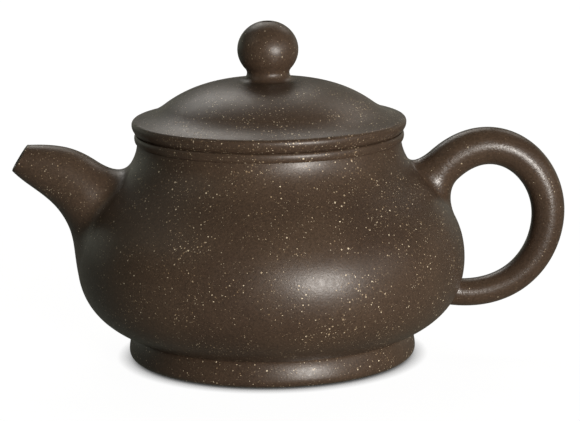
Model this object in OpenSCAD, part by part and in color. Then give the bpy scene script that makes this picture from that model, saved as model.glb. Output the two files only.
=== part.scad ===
// Clay teapot with a lift-off lid, built from luted clay pieces
// Frame: origin on the pot's axis at table level, +Z up, spout towards -X, handle towards +X
// Units: mm

/* [Pot] */
// Outside radius at the widest part of the belly
belly_r = 52; // [49:0.5:55]
// Height of the widest part above the table
belly_z = 26.7; // [25.5:0.1:28.5]
// Height of the lid seat above the table
rim_z = 60.8; // [58:0.1:64]
// Outside radius of the neck just under the mouth ring
neck_r = 35.2; // [34.5:0.1:36.5]
// Wall thickness of the pot and of the lid dome
wall = 3; // [2.5:0.1:3.4]

/* [Foot and base] */
// Outside radius of the foot ring at its roundest
foot_r = 38.6; // [37.5:0.1:40]
// Height of the foot ring
foot_h = 7.2; // [6.6:0.1:7.5]
// How far the top of the foot ring stands in from its roundest outside
foot_step = 1.3; // [1.1:0.05:1.7]
// Width of the foot ring inside the edge of the base disc
foot_t = 3.2; // [2.6:0.1:3.8]
// Thickness of the base disc
base_t = 3.2; // [2.6:0.1:3.6]
// Depth of the hollow under the base disc
recess = 4.4; // [4:0.1:5]

/* [Mouth] */
// Width of the mouth ring, from the outside of the neck to the opening
lip_w = 4.8; // [4.4:0.1:5.4]
// Height of the half-round mouth ring
lip_h = 2.5; // [2:0.1:3]

/* [Lid] */
// How far the lid's rim band stands out past its seam
lid_over = 1.18; // [0.8:0.02:1.6]
// Height of the lid's rim band
band_h = 3.2; // [3:0.1:3.8]
// Width of the brim between the rim band and the dome
brim_w = 8.8; // [8.2:0.1:9.4]
// Height of the dome's top above the lid seat
dome_h = 13.85; // [12.6:0.05:15.6]
// Height of the dome above the brim
dome_rise = 6.5; // [6:0.05:7.2]
// Free gap between the lid flange and the mouth
lid_gap = 0.35; // [0.25:0.05:0.6]
// Depth of the lid flange below the seat
flange_h = 6.3; // [4.5:0.1:8]
// Thickness of the lid flange
flange_t = 2.7; // [2.2:0.1:3.2]

/* [Knob] */
// Widest radius of the knob
knob_r = 8.1; // [7:0.05:9.5]
// Radius of the narrow part under the knob
knob_neck_r = 5.65; // [4.8:0.05:6.2]
// Height of the narrow part under the knob
knob_neck_h = 1.95; // [1.6:0.05:2.4]
// Diameter of the vent hole through knob and lid
vent_d = 2.6; // [2:0.1:3.2]

/* [Spout] */
// How far the middle of the spout's tip stands from the pot's axis
spout_reach = 66.05; // [64.05:0.25:69.05]
// Height of the middle of the spout's tip
spout_tip_z = 55.1; // [53:0.1:58]
// Outside diameter of the tip
tip_d = 8.3; // [7.4:0.1:9.4]
// Bore diameter at the tip
tip_bore = 5.8; // [5:0.1:6]
// Width of the spout at its bend
spout_mid_d = 17; // [16:0.1:18]

/* [Strainer] */
// Outside diameter of the strainer ball and of its hole in the wall
ball_d = 14; // [12:0.5:15]
// Diameter of each strainer hole
hole_d = 1.7; // [1.3:0.1:2]
// Wall thickness of the strainer ball
ball_wall = 1.4; // [1.1:0.1:1.7]

/* [Handle] */
// How far the handle's middle line stands from the pot's axis
handle_reach = 75.1; // [72.1:0.2:79.1]
// Height of the handle's middle line at its crown
handle_top_z = 55.45; // [54.5:0.05:57.5]
// Bar diameter where the upper root meets the bar
handle_root_d = 10.6; // [9.6:0.1:12]
// Bar diameter at the lower root
handle_end_d = 7.3; // [6.8:0.1:8.4]

/* [Hidden] */
$fn = 96;
// Points along each curved edge
edge_steps = 8;
// Points round a swept section
around = 32;
// Depth that a swept root runs under the belly's surface before it is trimmed
sink = 0.2 * wall;

vent_r = vent_d / 2;
neck_z = rim_z - lip_h;
mouth_r = neck_r - lip_w;
cove_r = foot_r - foot_step;
seat_r = cove_r - 0.034 * foot_h;
seat_z = 0.92 * foot_h;
base_z = recess;

// Outside of the pot: low runs from the foot to the widest part, high from there to the neck
low = [
    [seat_r, seat_z],
    [seat_r + 0.189 * (belly_r - seat_r), seat_z + 0.091 * (belly_z - seat_z)],
    [belly_r, belly_z - 0.74 * (belly_z - seat_z)],
    [belly_r, belly_z]
];
high = [
    [belly_r, belly_z],
    [belly_r, belly_z + 0.533 * (neck_z - belly_z)],
    [neck_r + 0.051 * (belly_r - neck_r), neck_z - 0.352 * (neck_z - belly_z)],
    [neck_r, neck_z]
];
// Soft hollow where the belly rises from the foot ring: it meets the low curve at cove_t
cove_t = 0.136;
cove_end = bez(low, cove_t);
cove_pull = 0.45 * norm(cove_end - [cove_r, foot_h]);
cove = [
    [cove_r, foot_h],
    [cove_r, foot_h + cove_pull],
    cove_end - cove_pull * unit(bez_step(low, cove_t)),
    cove_end
];
// Radius of the base disc: where the wall's inside starts
disc_r = beside(low, 0, wall)[0];
// Places on the high curve where the shoulder slab and the neck begin
shoulder_t = 0.6;
neck_t = 0.86;

// Seam radius between the mouth ring and the lid, and the lid's widest radius
seam_r = neck_r + 0.1 * lip_h;
lid_r = seam_r + lid_over;
flange_r = mouth_r - lid_gap;
flange_in = flange_r - flange_t;
dome_z = rim_z + dome_h;
// Rim band, brim and dome of the lid
band = [
    [seam_r, rim_z + 0.0735 * band_h],
    [lid_r - 0.088 * band_h, rim_z + 0.265 * band_h],
    [lid_r + 0.0735 * band_h, rim_z + 0.765 * band_h],
    [lid_r - 0.0735 * band_h, rim_z + band_h]
];
brim_in = [lid_r - brim_w, dome_z - dome_rise];
brim = [
    [lid_r - 0.294 * band_h, rim_z + 1.162 * band_h],
    [lid_r - 0.463 * brim_w, rim_z + 1.398 * band_h],
    brim_in + [0.274 * brim_w, -0.283 * dome_rise],
    brim_in
];
dome = [
    brim_in,
    brim_in + [-0.244 * brim_in[0], 0.758 * dome_rise],
    [0.469 * brim_in[0], dome_z],
    [0.216 * brim_in[0], dome_z]
];

knob_z = dome_z + knob_neck_h;
knob_mid_z = knob_z + 0.76 * knob_r;
knob_half_h = 0.94 * knob_r;
// Angle on the knob's outline where the round of its neck meets the ball
knob_from = -40;
knob_join = [knob_r * cos(knob_from), knob_mid_z + knob_half_h * sin(knob_from)];
knob_slope = unit([-knob_r * sin(knob_from), knob_half_h * cos(knob_from)]);

// Spout: middle, half section and pull of the ring between root and tip, then of the tip
spout_mid = [-0.9779 * belly_r, belly_z + 0.6351 * (neck_z - belly_z)];
spout_half = spout_mid_d / 2 * [cos(55.4), sin(55.4)];
tip_mid = [-spout_reach, spout_tip_z];
tip_half = tip_d / 2 * [0.541, 0.841];
tip_run = norm(tip_mid - spout_mid);
spout_pull = tip_run * [-0.619, 0.7386];
spout_pull_half = tip_run * [0.0502, -0.3404];
spout_pull_w = 0.254 * tip_run;
tip_pull = tip_run * [-1.1252, 0.3578];
tip_pull_half = tip_run * [-0.4385, -0.3808];
tip_pull_w = 0.2885 * tip_run;
// Root of the spout on the pot's outline: middle place, half length, half width in degrees
spout_root = [1.363, 0.497, 18];

// Strainer hole: place on the high curve and direction of its axis
ball_t = 0.29;
ball_at = bez(high, ball_t);
ball_slope = unit(bez_step(high, ball_t));
ball_tilt = atan2(-ball_slope[0], ball_slope[1]);
ball_r = ball_d / 2;

// Handle: middle line in two runs, first over the top, then down to the lower root
handle_a = [0.9015 * belly_r, belly_z + 0.752 * (neck_z - belly_z)];
handle_b = [0.9219 * belly_r, seat_z + 0.4529 * (belly_z - seat_z)];
handle_drop = handle_a[1] - handle_b[1];
handle_z = handle_b[1] + 0.6125 * handle_drop;
handle_top = [
    handle_a,
    handle_a + [0.477 * (handle_reach - handle_a[0]), 2.42 * (handle_top_z - handle_a[1])],
    [handle_reach, handle_z + 0.3943 * handle_drop],
    [handle_reach, handle_z]
];
handle_low = [
    [handle_reach, handle_z],
    [handle_reach, handle_z - 0.3182 * handle_drop],
    [handle_reach - 0.3118 * (handle_reach - handle_b[0]), handle_b[1] - 0.0817 * handle_drop],
    handle_b
];
handle_r = [handle_root_d / 2, 0.442 * handle_root_d, 0.575 * handle_end_d, handle_end_d / 2];
handle_root = [1.526, 0.2995, 10];

clay = [0.27, 0.23, 0.21];

// Unit vector
function unit(v) = v / norm(v);

// Point on a cubic Bezier
function bez(p, t) =
    pow(1 - t, 3) * p[0] + 3 * pow(1 - t, 2) * t * p[1] + 3 * (1 - t) * t * t * p[2] + pow(t, 3) * p[3];

// Direction and speed on a cubic Bezier
function bez_step(p, t) =
    3 * pow(1 - t, 2) * (p[1] - p[0]) + 6 * (1 - t) * t * (p[2] - p[1]) + 3 * t * t * (p[3] - p[2]);

// Point at distance d to the left of a Bezier
function beside(p, t, d) = let (k = unit(bez_step(p, t))) bez(p, t) + d * [-k[1], k[0]];

// Points along a Bezier from a to b, moved sideways by d, without the first one if skip is 1
function run(p, a = 0, b = 1, d = 0, n = edge_steps, skip = 0) = [
    for (i = [skip:n]) beside(p, a + (b - a) * i / n, d)
];

// Cubic between two points with a pull at each end
function pulled(a, ta, b, tb, u) =
    (2 * u * u * u - 3 * u * u + 1) * a + (u * u * u - 2 * u * u + u) * ta
    + (3 * u * u - 2 * u * u * u) * b + (u * u * u - u * u) * tb;

// Place on the pot's outline: s in 0 to 1 is the low curve, 1 to 2 the high curve
function outline_at(s) = s < 1 ? beside(low, s, sink) : beside(high, s - 1, sink);

// Point of a root on the pot's outside. root = [place, half length, half width], k shrinks it
function on_belly(root, side, a, k) =
    let (p = outline_at(root[0] + k * root[1] * sin(a)), w = k * root[2] * cos(a))
    [side * p[0] * cos(w), side * p[0] * sin(w), p[1]];

// Pull of a root along the pot's outside, towards the middle of the root
function belly_pull(root, side, a) = (on_belly(root, side, a, 0.98) - on_belly(root, side, a, 1)) / 0.02;

// Section point: middle and half section in the XZ plane, half width w along Y
function section(mid, half, w, a) =
    [mid[0] + half[0] * sin(a), w * cos(a), mid[1] + half[1] * sin(a)];

// Ring of points round the angle a
function turn(i) = 360 * i / around;

// Spout outside, at root u in 0 to 1 and then at the tip
function spout_root_point(u, a) =
    pulled(
        on_belly(spout_root, -1, a, 1),
        (1.165 - 0.225 * sin(a)) * belly_pull(spout_root, -1, a),
        section(spout_mid, spout_half, -norm(spout_half), a),
        section(spout_pull, spout_pull_half, spout_pull_w, a),
        u
    );
function spout_tip_point(u, a) =
    pulled(
        section(spout_mid, spout_half, -norm(spout_half), a),
        (1.19 + 0.32 * sin(a)) * section(spout_pull, spout_pull_half, spout_pull_w, a),
        section(tip_mid, tip_half, -norm(tip_half), a),
        section(tip_pull, tip_pull_half, tip_pull_w, a),
        u
    );
// v runs from 0 at the root over 1 at the middle ring to 2 at the tip
function spout_point(v, a) = v < 1 ? spout_root_point(v, a) : spout_tip_point(v - 1, a);
function spout_ring(v) = [for (i = [0:around - 1]) spout_point(v, turn(i))];
function middle(r) = (r[around / 4] + r[3 * around / 4]) / 2;
// Ring drawn in towards its middle by the factor k and moved by m
function drawn(r, k, m = [0, 0, 0]) = let (c = middle(r)) [for (p = r) c + m + k * (p - c)];
// Share of the section that the bore takes: root, middle ring, tip
function bore_share(v) = v < 1 ? 0.52 + 0.2 * v : 0.72 + (tip_bore / tip_d - 0.72) * (v - 1);

tip_out = [-tip_half[1], 0, tip_half[0]] / norm(tip_half);

// Handle sections
function bar_radius(k) =
    pow(1 - k, 3) * handle_r[0] + 3 * pow(1 - k, 2) * k * handle_r[1]
    + 3 * (1 - k) * k * k * handle_r[2] + pow(k, 3) * handle_r[3];
function bar_ring(p, t, k, push = 0) =
    let (c = bez(p, t), d = unit(bez_step(p, t)), r = bar_radius(k))
    [for (i = [0:around - 1]) section(c + push * d, r * [-d[1], d[0]], r, turn(i))];
function handle_root_ring(u) =
    let (d = unit(bez_step(handle_top, 0)), b = bar_ring(handle_top, 0, 0))
    [
        for (i = [0:around - 1])
            let (a = turn(i))
            pulled(
                on_belly(handle_root, 1, a, 1),
                belly_pull(handle_root, 1, a),
                b[i],
                handle_root_d * (0.62 - 0.344 * sin(a))
                    * unit([d[0], 0, d[1]] - 0.06 * [-d[1] * sin(a), cos(a), d[0] * sin(a)]),
                u
            )
    ];

// Closed solid through a list of rings, each end closed towards the point given for it
module loft(rings, first, last) {
    n = around;
    m = len(rings);
    points = concat([for (r = rings) each r], [first, last]);
    walls = [
        for (i = [0:m - 2])
            for (j = [0:n - 1])
                let (a = i * n + j, b = i * n + (j + 1) % n)
                each [[a, b + n, b], [a, a + n, b + n]]
    ];
    start = [for (j = [0:n - 1]) [m * n, j, (j + 1) % n]];
    finish = [for (j = [0:n - 1]) [m * n + 1, (m - 1) * n + (j + 1) % n, (m - 1) * n + j]];
    polyhedron(points, concat(walls, start, finish), convexity = 6);
}

// Outside of the belly wall, of the shoulder slab and of the neck
function wall_run() = concat(
    run(cove, n = 6),
    run(low, cove_t, 1, skip = 1),
    run(high, 0, shoulder_t, skip = 1)
);
function shoulder_run(skip = 0) = run(high, shoulder_t, neck_t, n = 6, skip = skip);
function neck_run(skip = 0) = run(high, neck_t, 1, n = 4, skip = skip);

// The pot's outside as one solid, for trimming what is luted onto it
module belly_solid() {
    rotate_extrude()
        polygon(concat(
            [[0, foot_h]],
            wall_run(),
            shoulder_run(1),
            neck_run(1),
            [[0, neck_z]]
        ));
}

// Moves children to the strainer hole, +Z outwards
module at_strainer() {
    translate([-ball_at[0], 0, ball_at[1]])
        rotate([0, ball_tilt - 90, 0])
            children();
}

module base_disc() {
    color(clay)
        translate([0, 0, base_z])
            cylinder(r = disc_r, h = base_t);
}

module foot_ring() {
    h = foot_h;
    wide_z = 0.33 * h;
    outer_low = [[foot_r - 0.62 * h, 0], [foot_r - 0.15 * h, 0], [foot_r, 0.1 * h], [foot_r, wide_z]];
    outer_high = [
        [foot_r, wide_z],
        [foot_r, 0.445 * h],
        [foot_r - 0.31 * foot_step, 0.847 * h],
        [cove_r, h]
    ];
    color(clay)
        rotate_extrude()
            polygon(concat(
                run(outer_low, n = 7),
                run(outer_high, n = 6, skip = 1),
                [
                    [disc_r, foot_h],
                    [disc_r, base_z],
                    [disc_r - foot_t, base_z],
                    [disc_r - foot_t, 0.29 * foot_t],
                    [disc_r - 0.71 * foot_t, 0]
                ]
            ));
}

module belly_wall() {
    color(clay)
        difference() {
            rotate_extrude()
                polygon(concat(
                    wall_run(),
                    run(high, shoulder_t, 0, wall),
                    run(low, 1, 0, wall, skip = 1),
                    [[disc_r, foot_h]]
                ));
            at_strainer()
                cylinder(r = ball_r, h = 8 * wall, center = true);
        }
}

module shoulder_slab() {
    color(clay)
        rotate_extrude()
            polygon(concat(
                shoulder_run(),
                run(high, neck_t, shoulder_t, wall, n = 6)
            ));
}

module neck() {
    color(clay)
        rotate_extrude()
            polygon(concat(
                neck_run(),
                [[neck_r - wall, neck_z]],
                run(high, 0.96, neck_t, wall, n = 3)
            ));
}

module mouth_ring() {
    bulge = [
        [neck_r, neck_z],
        [neck_r + 0.34 * lip_h, neck_z + 0.04 * lip_h],
        [seam_r + 0.3 * lip_h, rim_z - 0.04 * lip_h],
        [seam_r, rim_z]
    ];
    color(clay)
        rotate_extrude()
            polygon(concat(
                run(bulge, n = 7),
                [[mouth_r + 0.16 * lip_h, rim_z], [mouth_r, rim_z - 0.16 * lip_h], [mouth_r, neck_z]]
            ));
}

module spout() {
    root_steps = 9;
    tip_steps = 9;
    outside = [
        for (i = [0:root_steps - 1]) spout_ring(i / root_steps),
        for (i = [0:tip_steps]) spout_ring(1 + i / tip_steps)
    ];
    tip = outside[len(outside) - 1];
    lip = drawn(tip, 0.9, 0.048 * tip_d * tip_out);
    bore = [
        for (i = [0:3]) drawn(spout_ring(i / 4), bore_share(i / 4)),
        for (i = [0:4]) drawn(spout_ring(1 + i / 4), bore_share(1 + i / 4))
    ];
    bore_end = drawn(tip, bore_share(2), 0.24 * tip_d * tip_out);
    inwards = [1.7 * wall, 0, 0];
    color(clay)
        difference() {
            loft(concat(outside, [lip]), middle(outside[0]) + inwards, middle(lip));
            loft(concat(bore, [bore_end]), middle(bore[0]) + inwards, middle(bore_end));
            belly_solid();
        }
}

module strainer() {
    shell_r = ball_r - ball_wall;
    collar_h = wall - ball_wall + 0.1;
    hole_step = 0.328 * ball_r;
    color(clay)
        at_strainer()
            translate([0, 0, 0.1 - wall])
                difference() {
                    rotate_extrude()
                        polygon(concat(
                            [[ball_r, collar_h]],
                            [for (i = [0:10]) ball_r * [cos(9 * i), -sin(9 * i)]],
                            [for (i = [10:-1:0]) shell_r * [cos(9 * i), -sin(9 * i)]],
                            [[shell_r, collar_h]]
                        ));
                    for (ring = [0:2])
                        for (k = [0:max(0, 6 * ring - 1)])
                            rotate(60 / max(1, ring) * k)
                                translate([ring * hole_step, 0, -ball_r - 1])
                                    cylinder(d = hole_d, h = ball_r + 0.5, $fn = 20);
                }
}

module handle() {
    root_steps = 7;
    top_steps = 12;
    low_steps = 12;
    rings = [
        for (i = [0:root_steps - 1]) handle_root_ring(i / root_steps),
        for (i = [0:top_steps - 1]) bar_ring(handle_top, i / top_steps, 0.5 * i / top_steps),
        for (i = [0:low_steps]) bar_ring(handle_low, i / low_steps, 0.5 + 0.5 * i / low_steps),
        bar_ring(handle_low, 1, 1, 0.5 * handle_end_d)
    ];
    color(clay)
        difference() {
            loft(rings, middle(rings[0]) - [1.7 * wall, 0, 0], middle(rings[len(rings) - 1]));
            belly_solid();
        }
}

module lid_plate() {
    dome_in = beside(dome, 0, wall);
    color(clay)
        rotate_extrude()
            polygon(concat(
                [[flange_in, rim_z], [seam_r - 0.088 * band_h, rim_z]],
                run(band, n = 6),
                [[lid_r - 0.147 * band_h, rim_z + 1.103 * band_h]],
                run(brim, n = 6),
                [dome_in, [flange_in, dome_in[1] - 0.467 * wall]]
            ));
}

module lid_dome() {
    color(clay)
        rotate_extrude()
            polygon(concat(
                run(dome, n = 9),
                [[vent_r, dome_z], [vent_r, dome_z - wall]],
                run(dome, 1, 0, wall, n = 7)
            ));
}

module lid_flange() {
    color(clay)
        rotate_extrude()
            polygon([
                [flange_in, rim_z],
                [flange_r, rim_z],
                [flange_r, rim_z - flange_h + 0.37 * flange_t],
                [flange_r - 0.222 * flange_t, rim_z - flange_h],
                [flange_in + 0.148 * flange_t, rim_z - flange_h],
                [flange_in, rim_z - flange_h + 0.148 * flange_t]
            ]);
}

module knob_neck() {
    h = knob_neck_h;
    foot = [
        [knob_neck_r + 1.128 * h, dome_z],
        [knob_neck_r + 0.487 * h, dome_z + 0.051 * h],
        [knob_neck_r + 0.026 * h, dome_z + 0.436 * h],
        [knob_neck_r, knob_z]
    ];
    color(clay)
        rotate_extrude()
            polygon(concat(run(foot, n = 6), [[vent_r, knob_z], [vent_r, dome_z]]));
}

module knob() {
    join = [
        [knob_neck_r, knob_z],
        [knob_neck_r, knob_z + 0.055 * knob_r],
        knob_join - 0.0736 * knob_r * knob_slope,
        knob_join
    ];
    top_a = 78;
    turns = 20;
    ball = [
        for (i = [1:turns])
            let (a = knob_from + (top_a - knob_from) * i / turns)
            [knob_r * cos(a), knob_mid_z + knob_half_h * sin(a)]
    ];
    top_z = ball[turns - 1][1];
    color(clay)
        rotate_extrude()
            polygon(concat(
                [[vent_r, knob_z]],
                run(join, n = 4),
                ball,
                [[vent_r, top_z]]
            ));
}

base_disc();
foot_ring();
belly_wall();
shoulder_slab();
neck();
mouth_ring();
spout();
strainer();
handle();
lid_plate();
lid_dome();
lid_flange();
knob_neck();
knob();
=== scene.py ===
"""Clay teapot with a lift-off lid, dressed piece by piece as a potter lutes it together."""

import logging
import math
from dataclasses import dataclass, field
from enum import Enum
from typing import Any

import bmesh
import bpy
import numpy as np
from mathutils import Matrix, Vector


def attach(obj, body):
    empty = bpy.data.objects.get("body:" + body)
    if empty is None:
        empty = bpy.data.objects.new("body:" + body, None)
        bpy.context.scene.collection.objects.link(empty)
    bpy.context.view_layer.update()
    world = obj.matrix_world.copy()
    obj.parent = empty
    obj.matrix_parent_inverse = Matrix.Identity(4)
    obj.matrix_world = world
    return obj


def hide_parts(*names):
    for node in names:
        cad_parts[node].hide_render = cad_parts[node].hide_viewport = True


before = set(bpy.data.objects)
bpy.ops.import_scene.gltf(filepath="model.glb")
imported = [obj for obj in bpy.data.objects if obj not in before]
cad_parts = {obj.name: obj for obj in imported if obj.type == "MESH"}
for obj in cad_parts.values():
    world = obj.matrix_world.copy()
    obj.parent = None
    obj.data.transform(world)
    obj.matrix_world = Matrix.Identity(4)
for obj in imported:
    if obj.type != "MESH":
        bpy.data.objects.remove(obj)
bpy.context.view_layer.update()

MM = 0.001
LOG = logging.getLogger("teapot")

# How an outline is sampled: the share of a curve in its short first and last steps, the most of an edge
# that an eased corner takes, the steps in such a corner, and distances in millimetres that count as none.
SHORT_STEP = 0.004
MOST_EASED = 0.45
EASE_STEPS = 6
ONE_PLACE = 1e-6
ONE_POINT = 2e-3

# Welding distances in metres, then the angle in degrees past which an edge stays crisp.
SEAM_WELD = 1e-6
SKIN_WELD = 2e-6
SHARP = 38.0

# Depths in millimetres: a skin just under the pot's outside, and a root's hidden end in the wall.
SUNK = 0.03
BURIED = 0.5

Points = np.ndarray
Tree = bpy.types.NodeTree
Socket = bpy.types.NodeSocket


def linear(code: str) -> tuple[float, float, float, float]:
    """Turns an sRGB hex colour into the linear colour that a node takes.

    Args:
        code: Colour such as "#3b302a".

    Returns:
        Red, green, blue and an alpha of 1, linear.
    """
    parts = [int(code[i:i + 2], 16) / 255 for i in (1, 3, 5)]
    red, green, blue = [c / 12.92 if c <= 0.04045 else ((c + 0.055) / 1.055) ** 2.4 for c in parts]
    return red, green, blue, 1.0


def add_node(
    tree: Tree, kind: str, inputs: dict[int | str, Any] | None = None, **settings: Any
) -> bpy.types.Node:
    """Adds a node with its settings, values and links.

    Args:
        tree: Tree that gets the node.
        kind: Blender's name for the node.
        inputs: Input name or number, and the value it gets or the socket it is linked from.
        **settings: Properties of the node itself.

    Returns:
        The new node.
    """
    node = tree.nodes.new(kind)
    for key, value in settings.items():
        setattr(node, key, value)
    for key, value in (inputs or {}).items():
        socket = node.inputs[key]
        if isinstance(value, Socket):
            tree.links.new(value, socket)
        else:
            socket.default_value = value
    return node


def maths(tree: Tree, operation: str, first: Any, second: Any = None, clamped: bool = False) -> Socket:
    """Adds a node that works on one or two numbers.

    Args:
        tree: Tree that gets the node.
        operation: Blender's name for what it does.
        first: First number or socket.
        second: Second number or socket, where it takes one.
        clamped: Whether the result stops at 0 and 1.

    Returns:
        The result.
    """
    inputs = {0: first} if second is None else {0: first, 1: second}
    node = add_node(tree, "ShaderNodeMath", inputs, operation=operation, use_clamp=clamped)
    return node.outputs[0]


def ranged(
    tree: Tree, value: Socket, given: tuple[float, float], wanted: tuple[float, float] = (0.0, 1.0)
) -> Socket:
    """Spreads a value from one range to another and stops at the ends.

    Args:
        tree: Tree that gets the node.
        value: Value that is spread.
        given: Lowest and highest value that counts.
        wanted: What these two become.

    Returns:
        The new value.
    """
    ends = {"From Min": given[0], "From Max": given[1], "To Min": wanted[0], "To Max": wanted[1]}
    node = add_node(tree, "ShaderNodeMapRange", {"Value": value, **ends})
    return node.outputs[0]


def blended(tree: Tree, share: Socket, first: Any, second: Any) -> Socket:
    """Colour between the first and the second, at a share."""
    return add_node(tree, "ShaderNodeMix", {0: share, 6: first, 7: second}, data_type="RGBA").outputs[2]


# ---------------------------------------------------------------- outlines


@dataclass(frozen=True)
class Bezier:
    """Cubic curve through an outline, as radius and height in millimetres."""

    a: tuple[float, float]
    b: tuple[float, float]
    c: tuple[float, float]
    d: tuple[float, float]

    def poles(self) -> tuple[Points, ...]:
        """The four corners that pull the curve."""
        return tuple(np.asarray(p) for p in (self.a, self.b, self.c, self.d))

    def point(self, t: float | Points) -> Points:
        """Finds places on the curve.

        Args:
            t: Share of the curve, or many of them.

        Returns:
            Radius and height at each share.
        """
        t = np.asarray(t, float)[..., None]
        a, b, c, d = self.poles()
        return (1 - t) ** 3 * a + 3 * (1 - t) ** 2 * t * b + 3 * (1 - t) * t * t * c + t ** 3 * d

    def step(self, t: float | Points) -> Points:
        """Finds the way that the curve takes.

        Args:
            t: Share of the curve, or many of them.

        Returns:
            Direction and speed at each share.
        """
        t = np.asarray(t, float)[..., None]
        a, b, c, d = self.poles()
        return 3 * (1 - t) ** 2 * (b - a) + 6 * (1 - t) * t * (c - b) + 3 * t * t * (d - c)

    def beside(self, t: float | Points, distance: float) -> Points:
        """Finds places beside the curve.

        Args:
            t: Share of the curve, or many of them.
            distance: Millimetres to the left, looking along the curve.

        Returns:
            Radius and height of each place.
        """
        way = unit(self.step(t))
        left = np.stack([-way[..., 1], way[..., 0]], axis=-1)
        return self.point(t) + distance * left

    def run(
        self, start: float = 0.0, end: float = 1.0, distance: float = 0.0, count: int = 24
    ) -> Points:
        """Samples a stretch of the curve, with a very short first and last step.

        The short steps let the shading of two luted pieces agree where they meet.

        Args:
            start: Share of the curve where the stretch starts.
            end: Share where it ends; it may be before start.
            distance: How far to the left of the curve the samples lie.
            count: How many even samples the stretch gets.

        Returns:
            The samples, one row of radius and height each.
        """
        even = np.linspace(0, 1, count)[1:-1]
        share = np.concatenate([[0, SHORT_STEP], even, [1 - SHORT_STEP, 1]])
        return self.beside(start + (end - start) * share, distance)


def line(*corners: tuple[float, float]) -> Points:
    """Straight edge through the given corners."""
    return np.array(corners, float)


class Outline:
    """Closed outline of a turned piece, drawn edge by edge with eased corners."""

    def __init__(self) -> None:
        """Starts with nothing drawn."""
        self.edges: list[Points] = []
        self.eases: list[float] = []

    def add(self, edge: Points, ease: float = 0.0) -> "Outline":
        """Adds an edge that starts where the last one ended.

        Args:
            edge: Samples along the edge.
            ease: Length that the corner at the start of this edge is rounded over, in millimetres.

        Returns:
            The outline itself, so that the next edge can follow.
        """
        self.edges.append(np.asarray(edge, float))
        self.eases.append(ease)
        return self

    @staticmethod
    def trimmed(edge: Points, front: float, back: float) -> Points:
        """Cuts a length off each end of an edge, never more than a set share of it.

        Args:
            edge: Samples along the edge.
            front: Length that goes from its start.
            back: Length that goes from its end.

        Returns:
            The samples that are left, with new ones at the cuts.
        """
        steps = np.linalg.norm(np.diff(edge, axis=0), axis=1)
        along = np.concatenate([[0], np.cumsum(steps)])
        front, back = (min(cut, MOST_EASED * along[-1]) for cut in (front, back))
        keep = (along > front + ONE_PLACE) & (along < along[-1] - back - ONE_PLACE)
        places = np.concatenate([[front], along[keep], [along[-1] - back]])
        return np.stack([np.interp(places, along, edge[:, k]) for k in range(edge.shape[1])], axis=1)

    def points(self, poled: bool) -> Points:
        """Joins the edges into one path.

        Args:
            poled: Whether the path starts and ends on the axis. Otherwise its last point is its first.

        Returns:
            The path, one row of radius and height a point.
        """
        count = len(self.edges)
        parts: list[Points] = []
        next_eases = self.eases[1:] + self.eases[:1]
        cut = [self.trimmed(*edge) for edge in zip(self.edges, self.eases, next_eases)]
        for i, edge in enumerate(cut):
            parts.append(edge)
            if next_eases[i] > 0:
                corner, after = self.edges[i][-1], cut[(i + 1) % count][0]
                u = np.linspace(0, 1, EASE_STEPS + 1)[1:-1, None]
                parts.append((1 - u) ** 2 * edge[-1] + 2 * (1 - u) * u * corner + u * u * after)
        path = np.concatenate(parts)
        far = np.linalg.norm(np.diff(path, axis=0, append=path[:1]), axis=1) > ONE_POINT
        path = path[far]
        return path if poled else np.concatenate([path, path[:1]])


# ---------------------------------------------------------------- meshes


def mesh_object(name: str, mesh: bpy.types.Mesh) -> bpy.types.Object:
    """Puts a mesh into the scene as an object at the origin.

    Args:
        name: Name of the object.
        mesh: Its mesh.

    Returns:
        The object.
    """
    made = bpy.data.objects.new(name, mesh)
    bpy.context.scene.collection.objects.link(made)
    return made


def volume(mesh: bpy.types.Mesh) -> float:
    """Measures a closed mesh.

    Args:
        mesh: Closed mesh.

    Returns:
        Its volume, negative when its faces look inwards.
    """
    work = bmesh.new()
    work.from_mesh(mesh)
    size = work.calc_volume(signed=True)
    work.free()
    return size


def finished(mesh: bpy.types.Mesh) -> bpy.types.Mesh:
    """Turns a closed mesh's faces outwards and shades it smooth apart from its crisp edges.

    Args:
        mesh: Closed mesh with one skin.

    Returns:
        The same mesh.
    """
    if volume(mesh) < 0:
        mesh.flip_normals()
    mesh.shade_smooth()
    mesh.set_sharp_from_angle(angle=math.radians(SHARP))
    return mesh


def bands(around: int, count: int, looped: bool) -> list[tuple[int, ...]]:
    """Lists the faces between each ring and the next.

    Args:
        around: Points round each ring.
        count: Number of rings.
        looped: Whether the last ring joins the first.

    Returns:
        The faces, as numbers of points.
    """
    faces: list[tuple[int, ...]] = []
    for i in range(count if looped else count - 1):
        a, b = i * around, ((i + 1) % count) * around
        faces += [(a + j, a + (j + 1) % around, b + (j + 1) % around, b + j) for j in range(around)]
    return faces


def skin(rings: list[Points], name: str, looped: bool) -> bpy.types.Mesh:
    """Skins a list of equal rings.

    Args:
        rings: Rings of points in millimetres, each the same length.
        name: Name of the mesh.
        looped: Whether the last ring joins the first. Otherwise it is closed towards its middle.

    Returns:
        The mesh in metres: closed when looped, open at its first ring when not.
    """
    around, count = len(rings[0]), len(rings)
    points = [tuple(p) for ring in rings for p in ring * MM]
    faces = bands(around, count, looped)
    if not looped:
        points.append(tuple(rings[-1].mean(axis=0) * MM))
        last = (count - 1) * around
        faces += [(last + j, last + (j + 1) % around, len(points) - 1) for j in range(around)]
    mesh = bpy.data.meshes.new(name)
    mesh.from_pydata(points, [], faces)
    return mesh


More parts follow.
